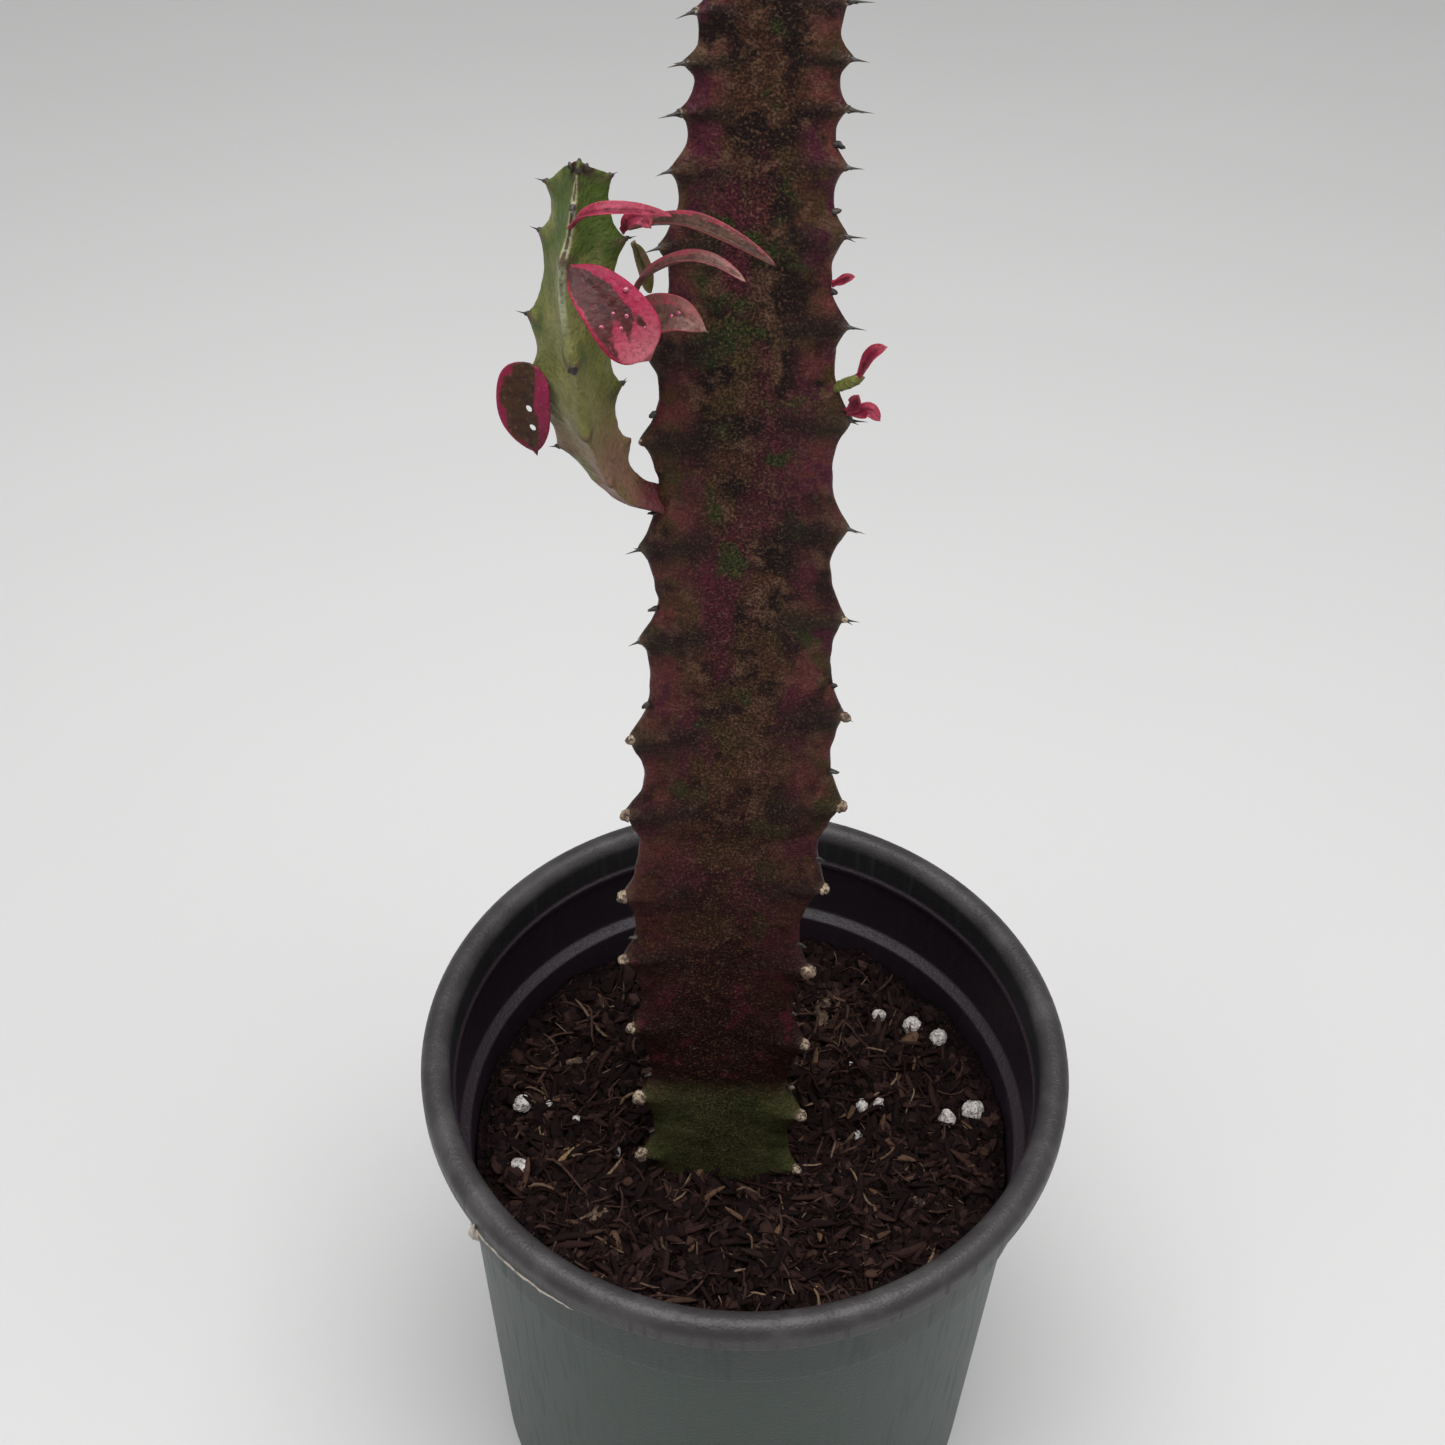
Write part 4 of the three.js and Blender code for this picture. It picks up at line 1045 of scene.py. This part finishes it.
# Teeth of the branch by rib and number, counted from its foot.
BARE_TEETH = [(1, 0), (FRONT_RIB, 0), (FRONT_RIB, 1), (FRONT_RIB, 3)]
SCARRED_TOOTH = (FRONT_RIB, 2)


def branch_growths(growths, spine, stub):
    """Spine pairs and stubs on the branch's teeth, a round scar, and dark dry bits at its crown."""
    draw = np.random.default_rng(6)
    spines, stubs = [], []
    for rib, teeth in enumerate(BRANCH_TEETH):
        for number, share in enumerate(teeth):
            if (rib, number) in BARE_TEETH:
                continue
            middle, along = branch_frame(share)[:2]
            tip, _ = branch_point(share, rib, 0)
            outward = unit(tip - middle)
            if (rib, number) == SCARRED_TOOTH:
                stubs.append((tip - outward * 0.15, outward, [0.55 * MM, 0.55 * MM, 0.22 * MM]))
                continue
            stubs.append((tip - outward * 0.15, outward, [0.34 * MM, 0.34 * MM, 0.4 * MM]))
            for side in (1, -1):
                aim = turned(outward, along, side * SPINE_SPREAD)
                length = draw.uniform(1.2, 1.8) if side == 1 else draw.uniform(0.5, 1.1)
                spines.append((tip - outward * 0.3, aim, [0.36 * MM, 0.36 * MM, length * MM]))
    for angle in np.linspace(0, 2 * math.pi, 4, endpoint=False):
        way = np.array([math.cos(angle), math.sin(angle), 0])
        root = branch_route.point(0.985) + 0.8 * way
        stubs.append((root, 0.6 * way + [0, 0, 1], [0.35 * MM, 0.3 * MM, 0.5 * MM]))
    for name, rows, shape in (("branch_spines", spines, spine), ("branch_stubs", stubs, stub)):
        mesh = point_mesh(name, *zip(*rows))
        keep(grow(name, mesh, growths, HORN, shape, Seed=5), "branch_skin")


# ---------------------------------------------------------------- leaves and the bud
LEAF_THICKNESS = 0.42
LEAF_ROWS = 44
LEAF_SHARES = (np.arange(LEAF_ROWS) + 0.4) / LEAF_ROWS
LEAF_COLUMNS = np.linspace(-1, 1, 21)
STALK_HALF_WIDTH = 0.45
LEAF_POINT = 0.09  # how far the sharp tip stands past the blade, as a share of its width
FOLD_CURVE = 1.3  # a folded blade steepens this much towards its edges
WORN_LEAF, WORN_PLACES, HOLE_RADIUS = "leaf_low_left", (0.5, 0.7), 0.45
DROPS_ON_LEAF = {"leaf_front_broad": 7, "leaf_behind_broad": 2}


def leaf_outline(share, base, tip):
    """Share of the full width at a share of the length; base and tip are small for a round end."""
    widest = base / (base + tip)
    return (share / widest) ** base * ((1 - share) / (1 - widest)) ** tip


def leaf(number, name, midrib, width, up, fold, outline, finish):
    """A leaf with a sunken vein and gently waving edges; returns what places things on it too."""
    route = Route([LEAF_ROOTS[name], *midrib] if name in LEAF_ROOTS else midrib)
    shares = LEAF_SHARES
    middle, along = route.point(shares), route.direction(shares)
    side = unit(np.cross(up, along))
    normal = unit(np.cross(along, side))
    half_width = np.maximum(STALK_HALF_WIDTH * (1 - shares), width / 2 * leaf_outline(shares, *outline))
    thickness = LEAF_THICKNESS * (1 - 0.5 * shares)
    columns = LEAF_COLUMNS
    wave = 0.05 * width * np.sin(shares * 9 + number)[:, None] * columns**2 * np.sign(columns)
    wave = wave * np.minimum(shares, 1 - shares)[:, None]
    vein = -0.12 * bell(columns, 0.1) * np.sin(math.pi * shares)[:, None]
    lean = fold * np.abs(columns) ** FOLD_CURVE * half_width[:, None] + wave

    def sheet(offset):
        return (
            middle[:, None]
            + side[:, None] * (columns * half_width[:, None])[..., None]
            + normal[:, None] * (lean + vein + offset)[..., None]
        )

    half_thick = thickness[:, None] / 2 * (1 - 0.8 * columns**2)
    rings = np.concatenate([sheet(half_thick)[:, ::-1], sheet(-half_thick)], 1)
    across = np.repeat(np.concatenate([columns[::-1], columns])[None], LEAF_ROWS, 0)
    point = route.point(1) + along[-1] * LEAF_POINT * width
    points, faces = closed_skin(rings, route.point(0), point)
    piece = new_piece(
        f"{name}_blade", points, faces, LEAF_SKINS[finish],
        across=np.append(across.ravel(), [0, 0]),
        along=np.append(np.repeat(shares[:, None], across.shape[1], 1).ravel(), [0, 1]),
    )
    return piece, route, side, normal, half_width


def drill(piece, centres, aim, radius, depth):
    """Cuts round holes through a piece along aim; sizes in millimetres."""
    drills = bmesh.new()
    turn = Vector(aim).to_track_quat("Z", "Y").to_matrix().to_4x4()
    for centre in centres:
        bmesh.ops.create_cone(
            drills, cap_ends=True, segments=24, radius1=radius * MM, radius2=radius * MM, depth=depth * MM,
            matrix=Matrix.Translation(Vector(centre) * MM) @ turn)
    mesh = bpy.data.meshes.new("drills")
    drills.to_mesh(mesh)
    drills.free()
    cutter = bpy.data.objects.new("drills", mesh)
    SCENE.collection.objects.link(cutter)
    cut = piece.modifiers.new("holes", "BOOLEAN")
    cut.operation = "DIFFERENCE"
    cut.object = cutter
    apply_modifiers(piece)
    bpy.data.objects.remove(cutter)


def leaves(growths):
    """Every leaf, with worn holes in the low one and wet drops on the two broad ones."""
    sap = sap_drop()
    for number, (name, row) in enumerate(LEAVES.items()):
        piece, route, side, normal, half_width = leaf(number, name, *row)
        fold = row[3]
        if name == WORN_LEAF:
            for share in WORN_PLACES:
                k = int(share * LEAF_ROWS)
                drill(piece, [route.point(share) + side[k] * 0.5], normal[k], HOLE_RADIUS, 4)
        if name in DROPS_ON_LEAF:
            draw = np.random.default_rng(20 + number)
            rows = []
            for _ in range(DROPS_ON_LEAF[name]):
                k = int(draw.uniform(0.45, 0.86) * LEAF_ROWS)
                off = draw.uniform(-0.75, 0.75)
                raised = 0.1 + fold * abs(off) ** FOLD_CURVE * half_width[k]
                place = route.point(LEAF_SHARES[k]) + side[k] * off * half_width[k] + normal[k] * raised
                width = draw.uniform(0.22, 0.42)
                rows.append((place, normal[k], [width * MM, width * MM, width * 0.5 * MM]))
            mesh = point_mesh(f"{name}_drops", *zip(*rows))
            shape = lump_shape("drop_shape", 2, 0.03)
            keep(grow(f"{name}_drops", mesh, growths, sap, shape, Seed=1), "leaf_skin")
            bpy.data.objects.remove(shape)
        keep(piece, "leaf_skin", name)


def side_bud():
    """A short green bud on the right rib."""
    steps, sides = 15, 24
    route = Route(BUD_LINE)
    shares = np.linspace(0, 1, steps)
    radius = smooth_table([[i / 2, r] for i, r in enumerate(BUD_RADII)])(shares)[:, 1]
    radius = radius * (1 + 0.08 * np.cos(shares * 30))
    angle = np.linspace(0, 2 * math.pi, sides, endpoint=False)
    rings = route.point(shares)[:, None] + np.stack([
        radius[:, None] * np.cos(angle), radius[:, None] * np.sin(angle), np.zeros((steps, sides))], -1)
    rings = rings + 0.08 * ripple(rings, 1.2, 31)[..., None]
    points, faces = closed_skin(rings, route.point(0), route.point(1) + [0, 0, 0.25])
    count = len(points)
    piece = new_piece("bud_flesh", points, faces, BRANCH_SKIN, edge=np.zeros(count), tooth=np.zeros(count),
                      front=np.zeros(count), rise=np.full(count, 0.55), cork=np.zeros(count))
    keep(piece, "branch_skin", "side_bud")


# ---------------------------------------------------------------- pot
RIM_INNER_RADIUS = 45.5
LIP_DROP, LIP_THICKNESS, GUTTER_DEPTH = 4.6, 1.3, 2.4
RING_DROP, RING_HEIGHT, RING_STANDS_OUT = 6.4, 1.8, 0.5
WALL = 1.3
STEP_Z = POT_HEIGHT - 20
STEP_SLOPE = 0.5
COLLAR_RADIUS, SHOULDER_RADIUS, BASE_RADIUS = 46.8, 44.9, 42.5
FOOT_WIDTH, FOOT_HEIGHT, FLOOR_THICKNESS = 4, 1.8, 1.8
DRAIN_RADIUS, DRAIN_CIRCLE, DRAIN_HOLES = 4.5, 24, 6
POT_SIDES = 192


def inner_radius(z):
    """The inside radius of the pot's lower wall at a height."""
    return blend(BASE_RADIUS, SHOULDER_RADIUS, z / STEP_Z) - WALL


def rounded_path(corners):
    """Points along straight stretches, with each corner that gives a radius turned into an arc."""
    path = []
    count = len(corners)
    for i, (r, z, soft) in enumerate(corners):
        here = np.array([r, z])
        if soft == 0 or i in (0, count - 1):
            path.append(here)
            continue
        back = unit(np.array(corners[i - 1][:2]) - here)
        ahead = unit(np.array(corners[i + 1][:2]) - here)
        for t in np.linspace(0, 1, 7):
            path.append(here + back * soft * (1 - t) ** 2 + ahead * soft * t**2)
    dense = []
    for a, b in zip(path[:-1], path[1:]):
        steps = max(1, int(np.linalg.norm(b - a) / 2.5))
        dense.extend(blend(a, b, k / steps) for k in range(steps))
    return np.array(dense + [path[-1]])


def pot():
    """The moulded pot: its outline turned once round, with its drain holes drilled."""
    height = POT_HEIGHT
    floor_top = FOOT_HEIGHT + FLOOR_THICKNESS
    round_radius = (RIM_RADIUS - RIM_INNER_RADIUS) / 2
    gutter_top = height - LIP_DROP + GUTTER_DEPTH
    ring_top = height - RING_DROP
    ring_face = RIM_INNER_RADIUS - RING_STANDS_OUT
    rolled_rim = [
        (RIM_RADIUS - round_radius * (1 - math.cos(a)), height - round_radius * (1 - math.sin(a)), 0)
        for a in np.linspace(0, math.pi, 25)
    ]
    corners = [
        (0.01, FOOT_HEIGHT, 0),
        (BASE_RADIUS - FOOT_WIDTH, FOOT_HEIGHT, 0.4),
        (BASE_RADIUS - FOOT_WIDTH, 0, 0.3),
        (BASE_RADIUS, 0, 0.7),
        (SHOULDER_RADIUS, STEP_Z - STEP_SLOPE, 0.3),
        (COLLAR_RADIUS, STEP_Z + STEP_SLOPE, 0.5),
        (COLLAR_RADIUS, gutter_top, 0.3),
        (RIM_RADIUS - LIP_THICKNESS, gutter_top, 0.3),
        (RIM_RADIUS - LIP_THICKNESS, height - LIP_DROP, 0.4),
        (RIM_RADIUS, height - LIP_DROP, 0.5),
        *rolled_rim,
        (RIM_INNER_RADIUS, ring_top, 0.3),
        (ring_face, ring_top - RING_STANDS_OUT, 0.2),
        (ring_face, ring_top - RING_HEIGHT + RING_STANDS_OUT, 0.2),
        (RIM_INNER_RADIUS, ring_top - RING_HEIGHT, 0.3),
        (RIM_INNER_RADIUS, STEP_Z + STEP_SLOPE, 0.4),
        (SHOULDER_RADIUS - WALL, STEP_Z - STEP_SLOPE, 0.3),
        (inner_radius(floor_top), floor_top, 1.2),
        (0.01, floor_top, 0),
    ]
    path = rounded_path(corners)
    angle = np.linspace(0, 2 * math.pi, POT_SIDES, endpoint=False)
    radius, z = np.repeat(path[:, :1], POT_SIDES, 1), np.repeat(path[:, 1:], POT_SIDES, 1)
    # The thin wall is never quite round.
    squeeze = 1 + 0.002 * np.cos(2 * angle + 0.7) + 0.001 * np.cos(3 * angle)
    rings = np.stack([radius * squeeze * np.cos(angle), radius * squeeze * np.sin(angle), z], -1)
    points, faces = closed_skin(rings, [[0, 0, FOOT_HEIGHT]], [[0, 0, floor_top]])
    order = np.arange(len(path))
    crest_row = int(np.argmax(path[:, 1]))
    # The dark inside begins a few rows down the inner side of the rolled rim.
    inside = np.clip((order - crest_row - 9) / 6, 0, 1) * (order > crest_row)
    lip = ((path[:, 1] > height - LIP_DROP - 0.1) & (path[:, 0] > COLLAR_RADIUS)).astype(float)
    # The top of the rolled rim carries a painted highlight.
    painted_crest_highlight = np.clip((path[:, 1] - height + 2.6) / 0.7, 0, 1) * (1 - inside)
    collar = ((path[:, 1] > STEP_Z) & (order < crest_row)).astype(float)
    spread = {
        key: np.append(np.repeat(values[:, None], POT_SIDES, 1).ravel(), [0, float(key == "inside")])
        for key, values in (("inside", inside), ("lip", lip), ("painted_crest_highlight", painted_crest_highlight), ("collar", collar))
    }
    piece = new_piece("nursery_pot", points, faces, POT_PLASTIC, **spread)
    spots = [(0, 0, FOOT_HEIGHT)]
    for k in range(DRAIN_HOLES):
        way = 2 * math.pi * k / DRAIN_HOLES
        spots.append((DRAIN_CIRCLE * math.cos(way), DRAIN_CIRCLE * math.sin(way), FOOT_HEIGHT))
    drill(piece, spots, (0, 0, 1), DRAIN_RADIUS, 12)
    keep(piece, "pot_plastic", "pot")


def lip_flash():
    """A thread of flash along part of the lip's lower edge, and the torn burr at its end."""
    plastic = moulding_flash()
    steps, sides = 60, 8
    angle = np.radians(np.linspace(-141, -117, steps))
    taper = np.sin(np.linspace(0.05, math.pi - 0.05, steps)) ** 0.4
    around = np.linspace(0, 2 * math.pi, sides, endpoint=False)
    edge_z = POT_HEIGHT - LIP_DROP
    radius = RIM_RADIUS + 0.05 + 0.16 * taper[:, None] * np.cos(around)
    z = edge_z - 0.1 + 0.22 * taper[:, None] * np.sin(around)
    rings = np.stack([radius * np.cos(angle)[:, None], radius * np.sin(angle)[:, None], z], -1)
    points, faces = closed_skin(rings, rings[:1].mean(1), rings[-1:].mean(1))
    points = points + 0.05 * ripple(points, 2, 41)[:, None]
    keep(new_piece("lip_flash", points, faces, plastic), "pot_plastic")
    points, faces = ball(4)
    crumple = 1 + 0.35 * ripple(points, 1.1, 42) + 0.15 * ripple(points, 0.4, 43)
    points = points * crumple[:, None] * [0.75, 0.75, 1.5]
    way = np.radians(-139.5)
    points = points + [(RIM_RADIUS + 0.1) * math.cos(way), (RIM_RADIUS + 0.1) * math.sin(way), edge_z - 0.6]
    keep(new_piece("lip_burr", points, faces, plastic), "pot_plastic")


# ---------------------------------------------------------------- potting mix
GAP = 0.3
SOIL_RADIUS = inner_radius(SOIL_TOP) - GAP
SOIL_RINGS, SOIL_SIDES = 150, 340
HOLLOW_BESIDE_STEM = np.array([-15.5, -6.5])
STEM_MIDDLE, STEM_REACH = (-2, -2), 8


def soil_height(x, y):
    """The mix's top: slightly mounded and lumpy, hollow to the left of the stem."""
    lumps = 0.7 * np.sin(x * 0.21 + 1) * np.cos(y * 0.25) + 0.4 * np.sin(x * 0.55 - y * 0.4)
    away = np.hypot(x - HOLLOW_BESIDE_STEM[0], y - HOLLOW_BESIDE_STEM[1])
    return SOIL_TOP + lumps + 0.8 - np.hypot(x, y) * 0.03 - 2.2 * bell(away, 4.5)


def potting_mix():
    """The body of mix in the pot, its crumbly top, and the ground on which litter may lie.

    All the ground keeps clear of the stem, the wall and the white grains. The open ground keeps
    further from the wall, for fibres that would otherwise stick through it.
    """
    angle = np.linspace(0, 2 * math.pi, SOIL_SIDES, endpoint=False)
    radius = np.linspace(0, SOIL_RADIUS - 0.05, SOIL_RINGS + 1)[1:][::-1]
    x, y = radius[:, None] * np.cos(angle), radius[:, None] * np.sin(angle)
    flat = np.stack([x, y, np.zeros_like(x)], -1)
    crumbs = 0.75 * ripple(flat, 7, 51) + 0.5 * np.abs(ripple(flat, 3, 52)) + 0.35 * ripple(flat, 1.5, 53)
    top = np.stack([x, y, soil_height(x, y) + crumbs * 1.2 + 0.25 * ripple(flat, 0.8, 54)], -1)
    floor_z = FOOT_HEIGHT + FLOOR_THICKNESS + GAP
    sides = []
    for z in np.linspace(floor_z, SOIL_TOP - 3, 12):
        r = inner_radius(z) - GAP - 0.2
        sides.append(np.stack([r * np.cos(angle), r * np.sin(angle), np.full(SOIL_SIDES, z)], -1))
    rings = np.concatenate([np.array(sides), top])
    centre = np.array([[0, 0, top[-1, :, 2].mean()]])
    points, faces = closed_skin(rings, [[0, 0, floor_z]], centre)
    away = np.hypot(points[:, 0], points[:, 1])
    from_stem = np.hypot(points[:, 0] - STEM_MIDDLE[0], points[:, 1] - STEM_MIDDLE[1])
    is_top = points[:, 2] > SOIL_TOP - 5
    bare = (from_stem > STEM_REACH) * is_top
    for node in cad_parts:
        if node.startswith("perlite"):
            low, high = (np.array(corner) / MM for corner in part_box(node))
            middle, reach = (low + high) / 2, (high - low)[0] / 2
            bare = bare * (np.hypot(points[:, 0] - middle[0], points[:, 1] - middle[1]) > reach + 0.5)
    piece = new_piece("peat_bed", points, faces, PEAT,
                      all_ground=bare * np.clip((SOIL_RADIUS - 1.6 - away) / 1.2, 0, 1),
                      open_ground=bare * np.clip((SOIL_RADIUS - 4.4 - away) / 1.2, 0, 1))
    return keep(piece, "potting_mix", "potting_mix")


def fibre_shape(name, seed, length, thickness, curl, flatness=0.7):
    """A bent fibre or splinter lying along X; sizes in millimetres."""
    sides = 5
    steps = np.linspace(0, 1, 7)
    x = (steps - 0.5) * length
    y = curl * np.sin(steps * 3.0 + seed)
    z = 0.5 * curl * np.cos(steps * 2.3 + seed * 2)
    radius = thickness / 2 * (1 - (2 * steps - 1) ** 4 * 0.7)
    around = np.linspace(0, 2 * math.pi, sides, endpoint=False)
    rings = np.stack([
        np.repeat(x[:, None], sides, 1), y[:, None] + radius[:, None] * np.cos(around),
        z[:, None] + flatness * radius[:, None] * np.sin(around)], -1)
    points, faces = closed_skin(rings, rings[:1].mean(1), rings[-1:].mean(1))
    return hidden_shape(name, points, faces)


def litter(bed):
    """Fibres, splinters, flakes and crumbs strewn over the mix."""
    tree = litter_tree()
    root = dry_fibre("dry_root_fibre", "#22120f", "#43302a", "#7c6652")
    flake = dry_fibre("bark_flake", "#190e0e", "#33221e", "#5c4536")
    crumb = dry_fibre("peat_crumb", "#140b0c", "#231615", "#3f2c27")
    crumb_lump = lump_shape("crumb_shape", 9, 0.5, 0.8, detail=1)
    kinds = [
        # name, material, shape, pieces per square centimetre, smallest, largest, tilt, lift in mm
        ("fine_fibres", root, fibre_shape("fine", 1, 6.5, 0.32, 1.4), 16, 0.5, 1.6, 0.6, 0.5),
        ("curled_fibres", root, fibre_shape("curled", 2, 5, 0.5, 1.8), 12, 0.5, 1.5, 0.8, 0.6),
        ("splinters", flake, fibre_shape("splinter", 3, 6, 1.05, 0.5, 0.5), 13, 0.5, 1.5, 0.6, 0.5),
        ("bark_flakes", flake, fibre_shape("flake", 4, 3.8, 2.1, 0.4, 0.4), 8, 0.5, 1.4, 0.7, 0.4),
        ("crumbs", crumb, crumb_lump, 80, 0.35 * MM, 1.4 * MM, 3.0, 0.2),
    ]
    for number, (name, material, shape, density, least, most, tilt, lift) in enumerate(kinds):
        piece = grow(name, bed.data.copy(), tree, material, shape, Density=density * 1e4, Seed=60 + number,
                     Smallest=least, Largest=most, Tilt=tilt, Lift=lift * MM,
                     Ground="all_ground" if name in ("crumbs", "bark_flakes") else "open_ground")
        keep(piece, "potting_mix")


def perlite(number, material):
    """One swollen, pitted grain, as large as its node."""
    node = f"perlite_{number:02d}"
    low, high = (np.array(corner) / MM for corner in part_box(node))
    points, faces = ball(5)
    shape = 0.95 + 0.12 * ripple(points, 1.8, 70 + number) + 0.05 * ripple(points, 0.6, 90 + number)
    shape = shape - 0.07 * np.abs(ripple(points, 0.3, 110 + number))
    points = points * shape[:, None] * (high - low) / 2 + (low + high) / 2
    keep(new_piece(f"perlite_grain_{number:02d}", points, faces, material), "perlite", node)


def chip(number, node, material, ridges):
    """A rough bit of bark or wood that lies as its node does."""
    corners = np.array([v.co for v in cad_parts[node].data.vertices]) / MM
    middle = (corners.max(0) + corners.min(0)) / 2
    axes = np.linalg.svd(corners - corners.mean(0), full_matrices=False)[2]
    reach = np.abs((corners - middle) @ axes.T).max(0)
    sides = 40
    steps = np.linspace(-0.98, 0.98, 60)
    around = np.linspace(0, 2 * math.pi, sides, endpoint=False)
    ends = (1 - np.abs(steps) ** 6) ** 0.5
    section = (np.abs(np.cos(around)) ** 3 + np.abs(np.sin(around)) ** 3) ** (-1 / 3)
    local = np.stack([
        np.repeat(steps[:, None], sides, 1),
        ends[:, None] * section * np.cos(around),
        ends[:, None] * section * np.sin(around)], -1)
    furrow = 0.1 * np.sin(ridges * around + 2 * ripple(local * reach, 5, 130 + number))
    local[..., 1:] *= (0.88 + furrow + 0.12 * ripple(local * reach, 2.5, 140 + number))[..., None]
    rings = (local * reach * 0.97) @ axes + middle
    points, faces = closed_skin(rings, rings[:1].mean(1), rings[-1:].mean(1))
    keep(new_piece(f"{node}_rough", points, faces, material), "bark", node)


# ---------------------------------------------------------------- the whole plant
def build():
    main_stem()
    side_branch()
    growths = growth_tree()
    spine, stub = stem_growths(growths)
    branch_growths(growths, spine, stub)
    leaves(growths)
    side_bud()
    pot()
    lip_flash()
    bed = potting_mix()
    litter(bed)
    stone = perlite_stone()
    for number in range(1, PERLITE_COUNT + 1):
        perlite(number, stone)
    bark = weathered_bark("weathered_bark", "#4f3c30", "#7a6350", "#2c1f1a")
    wood = weathered_bark("dry_yellow_wood", "#7d6243", "#a58a60", "#4d3a28")
    for number, node in enumerate(CHIPS):
        chip(number, node, bark, 7)
    for number, node in enumerate(SLIVERS):
        chip(number + 10, node, wood, 9)


build()


# ---------------------------------------------------------------- floor and light
def floor():
    """A plain sheet of matt paper, far wider than the view."""
    paper = Finish("matt_white_paper")
    paper.paint("#dcdcdc", [("#d8d8d8", 1, Patches(400, 0.3, 0.7))])
    paper.set(roughness=0.9)
    half = 6000
    points = [[-half, -half, 0], [half, -half, 0], [half, half, 0], [-half, half, 0]]
    new_piece("floor", points, [[0, 1, 2, 3]], paper.material)


def softbox(name, place, aim, size, watts):
    """A soft rectangular light; its place, aim and size are in metres."""
    data = bpy.data.lights.new(name, "AREA")
    data.shape = "RECTANGLE"
    data.size, data.size_y = size
    data.energy = watts
    lamp = bpy.data.objects.new(name, data)
    lamp.location = place
    lamp.rotation_euler = (Vector(aim) - Vector(place)).to_track_quat("-Z", "Y").to_euler()
    SCENE.collection.objects.link(lamp)


def studio():
    """The floor, three soft lights and a pale surround."""
    floor()
    softbox("overhead_softbox", (0, -0.05, 0.8), (0, -0.02, 0.1), (0.7, 0.6), 6.3)
    softbox("left_softbox", (-1.1, -0.5, 0.9), (0, 0, 0.15), (0.8, 0.8), 2)
    softbox("right_softbox", (1.1, -0.3, 0.9), (0, 0, 0.15), (0.8, 0.8), 2)
    world = bpy.data.worlds.new("studio")
    world.use_nodes = True
    sky = world.node_tree.nodes["Background"]
    sky.inputs["Color"].default_value = colour("#f0efee")
    sky.inputs["Strength"].default_value = 0.3
    SCENE.world = world
    SCENE.view_settings.view_transform = "Standard"


studio()
